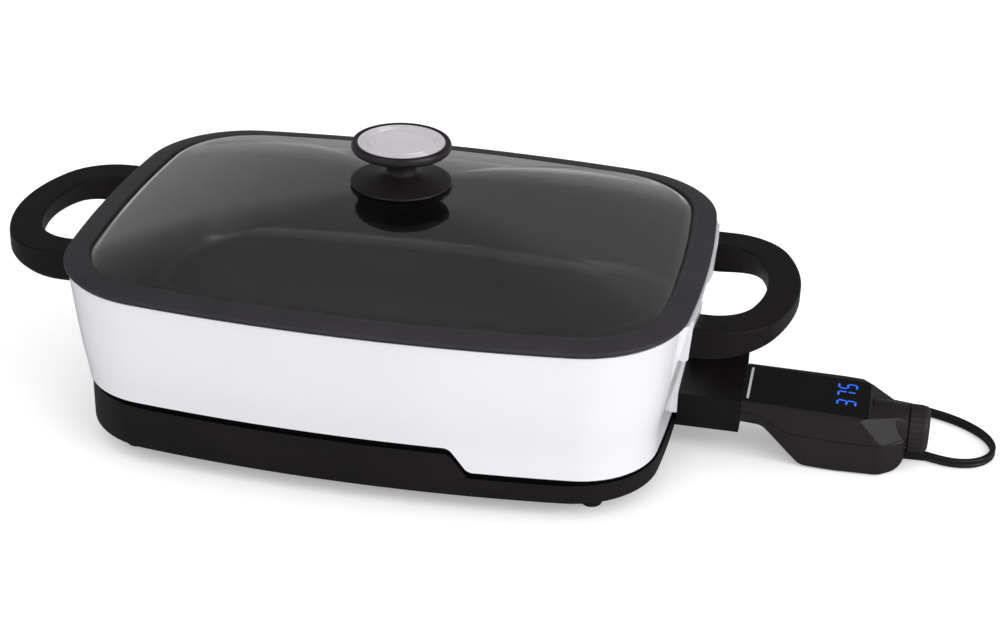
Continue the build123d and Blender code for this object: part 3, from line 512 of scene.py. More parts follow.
vinyl = plasticFinish("cordVinyl", 18, 26, 0.36, 0.14, 900, 0.00004)
enamel = enamelFinish()
bandRubber = plasticFinish("bandRubber", 49, 54, 0.5, 0.1, 1500, 0.00003, tint=(1.05, 0.95, 1.07))
clearGlass = glassFinish()
satinBlack = plasticFinish("satinBlack", 27, 33, 0.36, 0.1, 2600, 0.00002, 0.5)
spunSilver = metalFinish("spunSilver", 228, 238, 0.36, (1.0, 0.96, 1.01), metallic=0.3)
handlePlastic = plasticFinish("handlePlastic", 19, 24, 0.42, 0.1, shine=0.15)
controlPlastic = plasticFinish("controlPlastic", 29, 34, 0.44, 0.1)
displayBlue = glowFinish()
glossBlack = plasticFinish("glossBlack", 8, 11, 0.06, 0.04, 300, 0.000004, 0.5)
dialPlastic = plasticFinish("dialPlastic", 34, 40, 0.5, 0.1)
basePlastic = plasticFinish("basePlastic", 20, 25, 0.44, 0.1, shine=0.2)
# painted shade: a near-black, rough finish that stands in for the shadow deep in the groove between
# shell and base
grooveShadePaint = plasticFinish("grooveShadePaint", 3, 5, 0.8, 0.1, 1500, 0.00003, 0.1)
guardPlastic = plasticFinish("guardPlastic", 16, 20, 0.3, 0.1, shine=0.25)
footRubber = plasticFinish("footRubber", 22, 30, 0.7, 0.1, 1200, 0.00005)
nonstick = plasticFinish("nonstick", 28, 34, 0.32, 0.12, 1400, 0.00003, 0.5)
relayCase = plasticFinish("relayCase", 50, 60, 0.4)
boardGreen = plasticFinish("boardGreen", 70, 84, 0.4, tint=(0.25, 1.4, 0.5))
ceramic = plasticFinish("ceramic", 215, 225, 0.5, 0.1, 700, 0.00004, tint=(1.0, 0.97, 0.9))
phenolic = plasticFinish("phenolic", 30, 38, 0.5, 0.1, 1500, 0.00004)
platedSteel = metalFinish("platedSteel", 165, 185, 0.28)
elementSheath = metalFinish("elementSheath", 120, 150, 0.42, (1.0, 0.97, 0.94))
brass = metalFinish("brass", 190, 210, 0.3, (1.0, 0.82, 0.45))
print("finishes made")

# cord, from the control to the coil and the plug
cordFacts = {
    "height": 6.5,
    "thickness": 3.6,
    "centre": 3.4,
    "length": 0.92,
    "exit": (352.0, 0.0),
    "coilMiddle": (79.8, 185.3),
    "turnRadius": 40.6,
    "pitch": 4.3,
    "startAngle": 45.0,
    "turns": 2.12,
    "pointsPerTurn": 14,
    "rise": 0.22,
    "humpHeight": 10.3,
    "swell": 1.012,  # makes up for the curve's cutting of corners
    "awaySteps": (12.0, 24.0, 33.0),
    "waist": 0.55,
}
cordRoute = [
    (352.0, 0.0), (361.0, -3.2), (372.5, -4.9), (384.5, -1.8), (393.5, 7.0), (396.8, 19.5),
    (393.0, 32.5), (384.0, 43.5), (371.5, 52.5), (356.0, 59.0), (338.0, 63.5), (318.0, 66.0),
    (297.0, 66.5), (276.0, 68.5), (256.0, 73.0), (237.5, 81.5), (222.0, 94.0), (208.0, 108.5),
    (193.5, 124.5), (178.0, 142.0), (160.5, 160.5), (142.0, 179.5), (124.0, 198.5),
]


def coilPoints():
    # Turns wind inwards on the surface; the last stretch climbs to cross over them.
    facts = cordFacts
    middleX, middleY = facts["coilMiddle"]
    count = round(facts["turns"] * facts["pointsPerTurn"])
    points = []
    for i in range(count + 1):
        turns = facts["turns"] * i / count
        angle = math.radians(facts["startAngle"] + 360 * turns)
        radius = (facts["turnRadius"] - facts["pitch"] * turns) * facts["swell"]
        climb = max(0.0, 1 - (facts["turns"] - turns) / facts["rise"])
        climb = climb * climb * (3 - 2 * climb)
        height = facts["centre"] + (facts["humpHeight"] - facts["centre"]) * climb
        points.append((middleX + radius * math.cos(angle), middleY + radius * math.sin(angle), height))
    return points


def makeCord():
    facts = cordFacts
    turns = coilPoints()
    heading = math.radians(facts["startAngle"] + 360 * facts["turns"] + 90)
    ahead, aside = math.cos(heading), math.sin(heading)
    lastX, lastY, lastZ = turns[-1]
    away = [(lastX + step * ahead, lastY + step * aside, lastZ) for step in facts["awaySteps"]]
    points = [(x, y, facts["centre"]) for x, y in cordRoute] + turns + away
    cord, spline, knots = newCurve("powerCord", "NURBS", len(points), closed=False)
    data = cord.data
    data.twist_mode = "Z_UP"
    data.resolution_u = 6
    for knot, spot in zip(knots, points):
        knot.co = (*place(*spot), 1)
    spline.order_u = 3
    spline.use_endpoint_u = True
    # two round conductors side by side under one sheath
    lobe = facts["height"] / 4
    half = facts["thickness"] / 2
    waist = half * facts["waist"]
    outline = [(half, -lobe, 90), (waist, 0, 90), (half, lobe, 90), (0, 2 * lobe, 180)]
    outline += [(-half, lobe, 270), (-waist, 0, 270), (-half, -lobe, 270), (0, -2 * lobe, 0)]
    section = outlineCurve("cordSection", outline, view="flat", steps=4)
    data.bevel_mode = "OBJECT"
    data.bevel_object = section
    data.use_fill_caps = True
    return cord, section


powerCord, cordSection = makeCord()
powerCord.data.materials.append(vinyl)
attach(powerCord, "heat_control")
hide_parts("cord", "cord_coil")
place(*cordFacts["exit"], cordFacts["centre"])
print("cord laid")

# shell: one wall with raised end panels, handle pads and guard seat, and an S-shaped lower edge
shellFacts = {
    "wall": 2.4,
    "wallRows": [
        (13.8, 22.0, 4.6), (13.5, 44.0, 4.6), (9.4, 66.0, 3.0), (5.6, 92.0, 1.4), (2.4, 118.4, 0.4),
    ],
    "panelRows": [(11.0, 60.0, 0.0), (3.8, 95.0, 0.0), (-0.9, 118.4, 0.0)],
    "panelPlan": [(150, -84), (194, -84), (206, -75), (206, 75), (194, 84), (150, 84)],
    "padRows": [(0.2, 86.0, 0.0), (-2.2, 118.4, 0.0)],
    "padPlan": [(150, 36), (199, 36), (201, 39), (203, 45), (208, 45), (208, 74.2), (150, 74.2)],
    "padShift": 1.3,
    "padFoot": 90.5,
    "seat": [
        (178, 22), (190.7, 22), (191.2, 25), (191.2, 44),
        (194.4, 66), (197.8, 92), (198.4, 97), (178, 97),
    ],
    "seatHalf": 27.6,
    "edgeLeft": 44.2,
    "edgeRight": 28.2,
    "edgeStep": (60.0, 65.6, 73.4, 79.0),
    "edgeCurl": 2.8,
    "edgeSlope": -53.1,
    "window": (37, 14),
    "plugHeight": 33.5,
}


def belowEdge(drop=0.0):
    # Block of all that lies under the shell's lower edge, which steps down in an S.
    left, right = shellFacts["edgeLeft"] - drop, shellFacts["edgeRight"] - drop
    curl, slope = shellFacts["edgeCurl"], shellFacts["edgeSlope"]
    heights = (left, left - curl, right + curl, right)
    step = list(zip(shellFacts["edgeStep"], heights, (0, slope, slope, 0)))
    points = [(-260, left), *step, (260, right), (260, -30), (-260, -30)]
    return slab(outlineCurve("belowEdge", points, view="side", at=-200), (0, 1, 0), 400)


def mirrored(piece, name):
    twin = copyOf(piece, name)
    editMode(twin)
    bpy.ops.transform.mirror(
        constraint_axis=(True, False, False), orient_type="GLOBAL", center_override=(panX, 0, 0)
    )
    outwards()
    return twin


def makePads():
    # Seats that the two legs of a handle stand on, with a rounded underside.
    facts = shellFacts
    pads = trayBody("legPads", facts["padRows"])
    plans = []
    for side in (-1, 1):
        plan = [(x, side * y + facts["padShift"]) for x, y in facts["padPlan"]]
        plans.append(slab(polyCurve("padPlan", plan, "top", 80), (0, 0, 1), 60))
    carve(pads, joined("padPlans", plans), "INTERSECT")
    low = facts["padFoot"]
    high = low + 4.8
    side = [(150, low), (196.8, low, 0), (201.6, high, 77), (215, high), (215, 130), (150, 130)]
    outline = outlineCurve("padSide", side, view="side", at=-100)
    return carve(pads, slab(outline, (0, 1, 0), 200), "INTERSECT")


def guardSeat(extra=0.0):
    # Raised block between the shell and the guard.
    half = shellFacts["seatHalf"] + extra
    return slab(polyCurve("guardSeat", shellFacts["seat"], "side", -half), (0, 1, 0), 2 * half)


def guardWindow():
    # Opening that the heat control's contact block goes through.
    wide, high = (side / 2 for side in shellFacts["window"])
    middle = shellFacts["plugHeight"]
    return boxAt("window", (165, -wide, middle - high), (210, wide, middle + high))


def makeShell():
    facts = shellFacts
    shell = trayBody("outerShell", smoothRows(facts["wallRows"]))
    panel = trayBody("endPanel", smoothRows(facts["panelRows"]))
    plan = polyCurve("panelPlan", facts["panelPlan"], "top", 40)
    carve(panel, slab(plan, (0, 0, 1), 100), "INTERSECT")
    for raised in (panel, makePads()):
        carve(shell, mirrored(raised, "raisedLeft"), "UNION")
        carve(shell, raised, "UNION")
    carve(shell, guardSeat(), "UNION")
    hollow = smoothRows(facts["wallRows"], facts["wall"])
    past = Vector((0, 2, 0))
    hollow = [hollow[0] - past, *hollow, hollow[-1] + past]
    carve(shell, trayBody("hollow", hollow))
    carve(shell, guardWindow())
    softenEdges(shell, 0.9, 3, 30)
    carve(shell, belowEdge())
    softenEdges(shell, 0.3, 2, 50)
    return shell


settle(makeShell(), "shell_wall", "skillet", enamel, ["outer_shell"], 40)
print("shell made")

# base: dark tray under the shell, with a groove between the two whose faces are painted near-black as
# shade, cooling slots and screw wells
baseFacts = {
    "rows": [(13.0, 11.6, -1.5), (12.8, 47.6, -1.5)],
    "groove": 3.8,
    "neck": 14.7,
    "sleeve": 19.6,
    "hollow": 22.0,
    "floor": 14.0,
    "slot": (44, 5),
    "slotPitch": (22, 60),
    "screws": (105.0, 72.0),
    "well": 4.4,
    "wellRoof": 1.3,
    "ledgeStart": 63.5,
    "ledgeRun": 12.0,
}


def roundAt(name, x, y, low, high, radius):
    bpy.ops.object.select_all(action="DESELECT")
    middle, depth = place(x, y, (low + high) / 2), (high - low) * mm
    bpy.ops.mesh.primitive_cylinder_add(vertices=48, radius=radius * mm, depth=depth, location=middle)
    bpy.ops.object.transform_apply(location=True, rotation=True, scale=True)
    bpy.context.active_object.name = name
    return bpy.context.active_object


def slotTool(x, y):
    length, width = baseFacts["slot"]
    side, end, half = width / 2, length / 2, (length - width) / 2
    points = [(x + side, y - half, 90), (x + side, y + half, 90), (x, y + end, 180)]
    points += [(x - side, y + half, 270), (x - side, y - half, 270), (x, y - end, 0)]
    return slab(outlineCurve("slot", points, at=8, steps=6), (0, 0, 1), 10)


def makeBase():
    facts = baseFacts
    foot, top = facts["rows"][0][1], facts["rows"][1][1]
    body = trayBody("baseBody", facts["rows"])
    carve(body, belowEdge(facts["groove"]), "INTERSECT")
    softenEdges(body, 0.8, 3, 40)
    spans = (("neck", foot + 2, top), ("sleeve", foot + 2, top), ("hollow", facts["floor"], top + 2))
    neck, sleeve, hollow = (
        trayBody(name, [(facts[name], low, 0), (facts[name], high, 0)]) for name, low, high in spans
    )
    carve(body, carve(neck, belowEdge(0.05), "INTERSECT"), "UNION")
    carve(body, sleeve, "UNION")
    carve(body, hollow)
    pitchX, pitchY = facts["slotPitch"]
    slots = [slotTool(pitchX * i, pitchY * j) for i in range(-3, 4) for j in (-0.5, 0.5)]
    carve(body, joined("slots", slots))
    screwX, screwY = facts["screws"]
    spots = [(x, y) for x in (-screwX, screwX) for y in (-screwY, screwY)]
    roof = foot + facts["wellRoof"]
    carve(body, joined("wells", [roundAt("well", x, y, 8, roof, facts["well"]) for x, y in spots]))
    return carve(body, guardWindow())


def ledgeHeight(x):
    # Top of the base's wall, x in metres from the pan's middle.
    left, right = shellFacts["edgeLeft"], shellFacts["edgeRight"]
    share = min(1, max(0, (x / mm - baseFacts["ledgeStart"]) / baseFacts["ledgeRun"]))
    return (left - baseFacts["groove"] + (right - left) * share) * mm


# Faces that face up or lie above the base wall's top: the groove faces that get the painted shade.
def inShadedGroove(middle, normal):
    return normal.z > 0.5 or middle.z > ledgeHeight(middle.x - panX) + 0.0001


def blacken(piece, finish, test):
    # Gives the faces that pass a test a second finish.
    piece.data.materials.append(finish)
    pick(piece, test)
    piece.active_material_index = len(piece.data.materials) - 1
    bpy.ops.object.material_slot_assign()
    objectMode()


base = settle(makeBase(), "base_tray", "skillet", basePlastic, ["base"], 40)
# painted shade: the groove's faces get a near-black finish in place of the shadow that falls there
blacken(base, grooveShadePaint, inShadedGroove)
print("base made")

# lid: dark band with a ridge that holds the glass, and the glass dome
lidFacts = {
    "glassFoot": 126.0,
    "glassTop": 157.8,
    "glassThickness": 4.0,
    "rows": 26,
    "crown": 0.16,
    "rim": [(11.5, 124.4), (15.6, 124.5)],
    "glassInset": 16.2,
}


def makeBand():
    lip = [(0.5, 120.7), (0.12, 120.85), (0.0, 121.2), (0.0, 122.4), (0.12, 122.8)]
    lip += [(0.5, 123.1), (1.2, 123.35)]
    crown = [(5.0, 124.6), (9.0, 125.25), (12.6, 125.6), (13.0, 125.7), (13.4, 126.1), (14.0, 126.3)]
    crown += [(15.2, 126.3), (15.8, 126.1), (16.05, 125.6), (16.05, 124.6)]
    slot = [(10.4, 124.6), (10.4, 121.8), (18.2, 121.8), (18.6, 121.4)]
    skirt = [(18.6, 114.8), (18.0, 114.2), (16.2, 114.2), (15.6, 114.8), (15.6, 120.7)]
    return trayRing("lidBand", lip + crown + slot + skirt)


def makeDome():
    # Loops from the band inwards on a flat arc, bridged, closed and thickened.
    rows, crown = lidFacts["rows"], lidFacts["crown"]
    rise = (lidFacts["glassTop"] - lidFacts["glassFoot"]) / (1 - crown**2)
    loops = [toMesh(outlineCurve("loop", trayPoints(inset), at=z)) for inset, z in lidFacts["rim"]]
    for i in range(rows):
        share = 1 - (1 - crown) * i / (rows - 1)
        height = lidFacts["glassFoot"] - 0.4 + 0.4 * (i > 0) + rise * (1 - share**2)
        loops.append(toMesh(outlineCurve("loop", trayPoints(lidFacts["glassInset"], share), at=height)))
    dome = bridged("glassDome", loops, closed=False)
    topLevel = (lidFacts["glassTop"] - 0.3) * mm
    pick(dome, lambda a, b: a.z > topLevel and b.z > topLevel, "edges")
    bpy.ops.mesh.edge_face_add()
    outwards()
    return modified(dome, "wall", "SOLIDIFY", thickness=lidFacts["glassThickness"] * mm, offset=-1)


settle(makeBand(), "lid_rim", "lid", bandRubber, ["lid_band"], 50)
settle(makeDome(), "lid_dome", "lid", clearGlass, ["lid_glass"], 60, False)
print("lid made")

# knob: flange, stem with disc, and silver insert with engraved rings
knobFacts = {
    "flange": 33.0,
    "disc": 32.3,
    "insert": 28.1,
    "top": 186.2,
    "foot": 165.0,
    "neck": 9.8,
    "insertTop": 185.5,
    "rings": (26.1, 24.5, 22.2, 21.4),
}


def makeFlange():
    wide, foot = knobFacts["flange"], knobFacts["foot"]
    under = [(3.2, 160.0), (22.0, 160.0), (29.5, 157.95), (wide - 0.6, 157.95, 0)]
    edge = [(wide, 158.5, 90), (wide - 0.9, 159.5, 165)]
    top = [(30.4, 159.95, 174), (20.0, 161.4, 170), (13.4, 163.2, 155), (10.4, foot, 115), (3.2, foot)]
    return turned(outlineCurve("flangeWire", under + edge + top, view="side", steps=8))


def makeDisc():
    wide, top, foot = knobFacts["disc"], knobFacts["top"], knobFacts["foot"] + 0.1
    seat, neck = knobFacts["insert"] + 0.3, knobFacts["neck"]
    stem = [(2.0, foot), (neck + 0.45, foot), (neck, 167.6, 92), (neck + 0.8, 172.0, 70)]
    under = [(14.4, 176.6, 38), (22.0, 178.6, 8), (28.8, 179.3, 10), (31.0, 180.2, 38)]
    edge = [(wide, 182.6, 90), (wide - 0.5, 185.0, 115), (30.2, top, 178)]
    recess = [(seat + 0.5, top - 0.35, 215), (seat, top - 1.0), (seat, 183.6), (2.0, 183.6)]
    return turned(outlineCurve("discWire", stem + under + edge + recess, view="side", steps=8))


def makeInsert():
    wide, top = knobFacts["insert"], knobFacts["insertTop"]
    groove = 0.3
    wire = [(0.0, 183.7), (wide - 0.3, 183.7), (wide, 184.0), (wide, top), (wide - 0.25, top + 0.25)]
    for radius in knobFacts["rings"]:
        wire += [(radius + 0.26, top + 0.1), (radius + 0.14, top + 0.1 - groove)]
        wire += [(radius - 0.14, top + 0.1 - groove), (radius - 0.26, top + 0.1)]
    wire += [(20.6, top), (0.0, top)]
    return turned(polyCurve("insertWire", wire, view="side"))


settle(makeFlange(), "knob_foot", "lid", satinBlack, ["knob_flange"], 40)
settle(makeDisc(), "knob_disc", "lid", satinBlack, ["knob"], 40)
settle(makeInsert(), "knob_face", "lid", spunSilver, ["knob_insert"], 30)
print("knob made")

# side handles: loops with a crisp upper edge, deep at the shell and thinner at the grip
handleFacts = {
    "root": 199.0,
    "top": 112.9,
    "rootBottom": 91.8,
    "gripBottom": 99.9,
    "rise": (204.0, 262.0),
    "outside": {"reach": 261.5, "half": 74.0, "corner": 43.0, "endRadius": 115.0},
    "inside": {"reach": 240.5, "half": 51.0, "corner": 28.0, "endRadius": 90.0},
    "steps": (4, 12, 8),
    "edgeAbove": 1.5,
    "edgeBelow": 4.5,
    "shiftRight": (0.0, 1.2, 0.3),
    "shiftLeft": (-1.6, 1.4, 1.8),
}


def loopSpots(reach, half, corner, endRadius):
    # Points along half a bowed rectangle: leg, corner arc, bowed end, corner arc, leg.
    legSteps, cornerSteps, endSteps = handleFacts["steps"]
    root, side = handleFacts["root"], half - corner
    middleX = reach - endRadius + math.sqrt((endRadius - corner) ** 2 - side**2)
    turn = math.asin(side / (endRadius - corner))
    spots = [(root + (middleX - root) * i / legSteps, half) for i in range(legSteps)]
    for i in range(cornerSteps):
        angle = math.pi / 2 + (turn - math.pi / 2) * i / cornerSteps
        spots.append((middleX + corner * math.cos(angle), side + corner * math.sin(angle)))
    for i in range(endSteps):
        angle = turn * (1 - i / endSteps)
        spots.append((reach - endRadius * (1 - math.cos(angle)), endRadius * math.sin(angle)))
    return spots + [(reach, 0)] + [(x, -y) for x, y in reversed(spots)]


def handleSection(outer, inner):
    # One upright section of the handle, between a point outside and one inside the loop.
    facts = handleFacts
    start, end = facts["rise"]
    share = min(1, max(0, ((outer[0] + inner[0]) / 2 - start) / (end - start)))
    share = share * share * (3 - 2 * share)
    low = facts["rootBottom"] + (facts["gripBottom"] - facts["rootBottom"]) * share
    high, above, below = facts["top"], facts["edgeAbove"], facts["edgeBelow"]
    wide = math.dist(outer, inner)
    corners = [(wide - below, low + below, below, -90), (wide - above, high - above, above, 0)]
    corners += [(above, high - above, above, 90), (below, low + below, below, 180)]
    points = []
    for middle, height, radius, first in corners:
        for i in range(6):
            angle = math.radians(first + 18 * i)
            across = (middle + radius * math.cos(angle)) / wide
            x, y = [a + (b - a) * across for a, b in zip(inner, outer)]
            points.append((x, y, height + radius * math.sin(angle)))
    section = polyCurve("section", [(0, 0)] * len(points))
    for point, spot in zip(section.data.splines[0].points, points):
        point.co = (*place(*spot), 1)
    return toMesh(section)


def makeHandle():
    pairs = zip(loopSpots(**handleFacts["outside"]), loopSpots(**handleFacts["inside"]))
    return bridged("handle", [handleSection(outer, inner) for outer, inner in pairs])


def moved(piece, shift):
    editMode(piece)
    bpy.ops.transform.translate(value=Vector(shift) * mm)
    objectMode()
    return piece


rightHandle = makeHandle()
leftHandle = moved(mirrored(rightHandle, "handleLeft"), handleFacts["shiftLeft"])
moved(rightHandle, handleFacts["shiftRight"])
settle(rightHandle, "handle_right", "skillet", handlePlastic, ["right_handle"], 32)
settle(leftHandle, "handle_left", "skillet", handlePlastic, ["left_handle"], 32)
print("handles made")

# guard: sleeve that the heat control slides into, with a low wall along its far side
guardFacts = {
    "start": 178.0,
    "end": 231.7,
    "half": 26.4,
    "top": 41.8,
    "bottom": 18.5,
    "wall": 2.4,
    "upstand": 60.0,
}


def makeGuard():
    facts = guardFacts
    start, end, half, bottom, top = (facts[key] for key in ("start", "end", "half", "bottom", "top"))
    guard = boxAt("guard", (start, -half, bottom), (end, half, top))
    high = facts["upstand"]
    side = [(start, top - 2), (end, top - 2), (end, high - 5, 90), (end - 5, high, 180), (start, high)]
    upstand = outlineCurve("upstand", side, view="side", at=half - 1.7)
    carve(guard, slab(upstand, (0, 1, 0), 2.6), "UNION")
    softenEdges(guard, 0.6, 3, 40)
    wall = facts["wall"]
    inside = half - wall
    carve(guard, boxAt("cavity", (start - 5, -inside, bottom + wall), (end + 5, inside, top - wall)))
    carve(guard, trayBody("shellCut", smoothRows(shellFacts["wallRows"], -0.1)))
    (inset, low, squarer), (highInset, _, _) = baseFacts["rows"]
    carve(guard, trayBody("baseCut", [(inset - 0.1, low, squarer), (highInset, 26, squarer)]))
    return carve(guard, guardSeat(0.1))


settle(makeGuard(), "guard_sleeve", "skillet", guardPlastic, ["control_guard"])
print("guard made")

# heat control: housing in two halves round a seam, gloss panel, display
controlFacts = {
    "start": 231.9,
    "end": 338.5,
    "top": 41.8,
    "fall": 0.0375,
    "bottom": 1.0,
    "dialHeight": 23.0,
    "neck": 15.6,
    "neckStart": 316,
    "collar": 13.2,
    "cornerCut": ((310.2, 26.6), (197, 215, 170)),
    "noseCut": (314.4, (0.25, 0, 1)),
    "mouth": ((200, -20.7, 28.8), (246, 20.7, 38.2)),
    "panelEnd": 313.0,
    "panelHalf": 24.4,
    "panelDepth": 0.9,
    "seam": 0.35,
}


def topAt(x):
    # Height of the housing's top surface, which falls towards the dial.
    return controlFacts["top"] - controlFacts["fall"] * (x - controlFacts["start"])


def tilted(piece):
    # Tips a piece made on a level top into the sloping one.
    facts = controlFacts
    editMode(piece)
    hinge = place(facts["start"], 0, facts["top"])
    angle = math.atan(facts["fall"])
    bpy.ops.transform.rotate(value=-angle, orient_axis="Y", orient_type="GLOBAL", center_override=hinge)
    objectMode()
    return piece


def controlBody():
    facts = controlFacts
    start, end, top, bottom = facts["start"], facts["end"], facts["top"], facts["bottom"]
    neck = [(start, top), (start, 27.0), (243.2, 26.5, -3), (249.6, 23.3, -43)]
    belly = [(269.6, 4.2, -43), (276.5, 1.3, -3), (300, bottom, 0), (end - 9, bottom, 0)]
    side = neck + belly + [(end, bottom + 9, 90), (end, topAt(end))]
    body = slab(outlineCurve("controlSide", side, view="side", at=-45), (0, 1, 0), 90)
    near = [(start, -26.2), (291.0, -28.95, 357.3), (301.0, -28.97, 2.5), (320.0, -28.13, 2.5)]
    near += [(325.3, -26.14, 38.9), (335.2, -18.2, 38.9), (end, -11.2, 90)]
    far = [(x, -y, *(180 - angle for angle in turn)) for x, y, *turn in reversed(near)]
    return carve(body, slab(outlineCurve("controlPlan", near + far, at=-5), (0, 0, 1), 60), "INTERSECT")


def cutPlane(piece, point, normal):
    # Takes off what lies beyond a plane and closes the cut.
    editMode(piece)
    normal = Vector(normal).normalized()
    bpy.ops.mesh.bisect(plane_co=place(*point), plane_no=normal, use_fill=True, clear_outer=True)
    objectMode()


def neckDrum(start, end, radius, farRadius):
    # Round body along the dial's axis.
    bpy.ops.object.select_all(action="DESELECT")
    middle = place((start + end) / 2, 0, controlFacts["dialHeight"])
    bpy.ops.mesh.primitive_cone_add(
        vertices=96,
        radius1=radius * mm,
        radius2=farRadius * mm,
        depth=(end - start) * mm,
        location=middle,
        rotation=(0, math.pi / 2, 0),
    )
    bpy.ops.object.transform_apply(location=True, rotation=True, scale=True)
    return bpy.context.active_object


def seamSheet(thickness):
    # Thin wavy slab that parts the two halves of the housing.
    upper, lower, half = 33.9, controlFacts["dialHeight"], thickness / 2
    line = [(200, upper + 0.5, 0), (241.5, upper - 0.2, -4), (248, upper - 3.4, -30)]
    line += [(258, lower + 2.4, -30), (265, lower, -3), (400, lower, 0)]
    above = [(x, z + half, angle) for x, z, angle in line]
    below = [(x, z - half, angle + 180) for x, z, angle in reversed(line)]
    return slab(outlineCurve("seam", above + below, view="side", at=-60), (0, 1, 0), 120)


def makeControl():
    facts = controlFacts
    end, top, half = facts["end"], facts["top"], facts["panelHalf"]
    body = controlBody()
    (x, y), (towardsX, towardsY, towardsZ) = facts["cornerCut"]
    for side in (-1, 1):
        cutPlane(body, (x, side * y, topAt(x)), (towardsX, side * towardsY, towardsZ))
    x, towards = facts["noseCut"]
    cutPlane(body, (x, 0, topAt(x)), towards)
    carve(body, neckDrum(facts["neckStart"], end, facts["neck"] + 1.2, facts["neck"]), "UNION")
    softenEdges(body, 1.6, 4, 24)
    carve(body, neckDrum(end - 2, end + 0.6, facts["collar"], facts["collar"]), "UNION")
    low = top - facts["panelDepth"]
    carve(body, tilted(boxAt("panelSeat", (220, -half, low), (facts["panelEnd"], half, top + 5))))
    carve(body, boxAt("mouth", *facts["mouth"]))
    carve(body, seamSheet(facts["seam"]))
    editMode(body)
    bpy.ops.mesh.separate(type="LOOSE")
    objectMode()
    loose = bpy.context.selected_objects
    return sorted(loose, key=lambda part: max(v.co.z for v in part.data.vertices))


lower, *_, upper = makeControl()
halves = (lower, "housing_low", "control_base"), (upper, "housing_top", "control_cover")
for half, name, node in halves:
    settle(half, name, "heat_control", controlPlastic, [node], 30)
print("control made")

# gloss panel with rounded far corners, slot for the trim line, and seven-segment figures
panelFacts = {
    "start": 233.4,
    "end": 312.7,
    "half": 24.1,
    "corner": 4.6,
    "thick": 0.78,
    "trim": 235.6,
    "trimSlot": (0.9, 21.2),
    "figures": "375",
}
figureFacts = {
    "foot": 304.7,
    "head": 291.8,
    "centres": (-7.4, 4.4, 15.0),
    "width": 7.3,
    "bar": 1.35,
    "gap": 0.35,
    "lift": 0.12,
}
figureBars = {"3": "abcdg", "7": "abc", "5": "acdfg"}


def makePanel():
    facts = panelFacts
    start, end, half, corner = facts["start"], facts["end"], facts["half"], facts["corner"]
    top = controlFacts["top"]
    plan = [(start, -half), (end - corner, -half, 0), (end, corner - half, 90)]
    plan += [(end, half - corner, 90), (end - corner, half, 180), (start, half)]
    panel = slab(outlineCurve("panelPlan", plan, at=top - 0.8), (0, 0, 1), facts["thick"])
    softenEdges(panel, 0.22, 2, 40)
    trim, (wide, long) = facts["trim"], facts["trimSlot"]
    slot = boxAt("trimSlot", (trim - wide, -long, top - 0.5), (trim + wide, long, top + 2))
    return tilted(carve(panel, slot))


def makeFigures():
    # A hexagonal bar at each lit segment. The figures read along +Y, tops towards the skillet.
    facts = figureFacts
    bar = facts["bar"]
    tall, wide = (facts["foot"] - facts["head"] - bar) / 2, facts["width"] - bar
    middleX = (facts["foot"] + facts["head"]) / 2
    level = controlFacts["top"] - 0.03
    spots = {
        "a": (-tall, 0, "cross"),
        "g": (0, 0, "cross"),
        "d": (tall, 0, "cross"),
        "f": (-tall / 2, -wide / 2, "along"),
        "b": (-tall / 2, wide / 2, "along"),
        "e": (tall / 2, -wide / 2, "along"),
        "c": (tall / 2, wide / 2, "along"),
    }
    bars = []
    for figure, centre in zip(panelFacts["figures"], facts["centres"]):
        for letter in figureBars[figure]:
            dx, dy, way = spots[letter]
            half, side = (wide if way == "cross" else tall) / 2 - facts["gap"], bar / 2
            tip = half - side
            hexagon = [(-half, 0), (-tip, -side), (tip, -side), (half, 0), (tip, side), (-tip, side)]
            if way == "cross":
                hexagon = [(-y, x) for x, y in hexagon]
            points = [(middleX + dx + x, centre + dy + y) for x, y in hexagon]
            outline = polyCurve("bar", points, view="top", at=level)
            bars.append(slab(outline, (0, 0, 1), facts["lift"]))
    return tilted(joined("figures", bars))


settle(makePanel(), "panel_gloss", "heat_control", glossBlack, ["gloss_panel"], 30)
settle(makeFigures(), "display_figures", "heat_control", displayBlue, (), 0)
print("panel and figures made")

# dial: rounded knob with short ribs on the half next to the housing
dialFacts = {"start": 339.3, "end": 352.5, "radius": 15.6, "ribs": 24, "ribEnd": 347.3, "ribWidth": 1.1}


def makeDial():
    facts = dialFacts
    start, end, radius, ribEnd = facts["start"], facts["end"], facts["radius"], facts["ribEnd"]
    height = controlFacts["dialHeight"]
    back = [(start, 3.05), (start, radius - 1.6), (start + 0.5, radius - 0.9, 45)]
    side = [(start + 1.3, radius - 0.75, 0), (ribEnd, radius - 0.65, 0)]
    side += [(ribEnd + 0.9, radius - 0.35, 20), (end - 2.8, radius - 0.45, -5)]
    front = [(end - 0.5, radius - 2.2, -62), (end, radius - 4.4, -92), (end - 0.35, radius - 6.5, -100)]
    wire = outlineCurve("dialWire", back + side + front + [(end - 0.5, 0)], view="side", steps=6)
    wire.location.z = height * mm
    onlyActive(wire)
    bpy.ops.object.transform_apply(location=True, rotation=False, scale=False)
    dial = turned(wire, axis=(1, 0, 0), at=height, steps=120)
    half = facts["ribWidth"] / 2
    section = [(-half, -2.0), (half, -2.0), (half - 0.1, -0.45), (half / 2, 0.0)]
    section += [(-half / 2, 0.0), (0.1 - half, -0.45)]
    ribs = []
    for i in range(facts["ribs"]):
        angle = math.tau * i / facts["ribs"]
        sine, cosine = math.sin(angle), math.cos(angle)
        points = []
        for across, out in section:
            reach = radius + out
            points.append((reach * sine + across * cosine, height + reach * cosine - across * sine))
        rib = polyCurve("rib", points, view="end", at=start + 0.9)
        ribs.append(slab(rib, (1, 0, 0), ribEnd - start - 0.4))
    return joined("dialBody", [dial, *ribs])


settle(makeDial(), "dial_grip", "dial", dialPlastic, ["dial"], 40)
print("dial made")

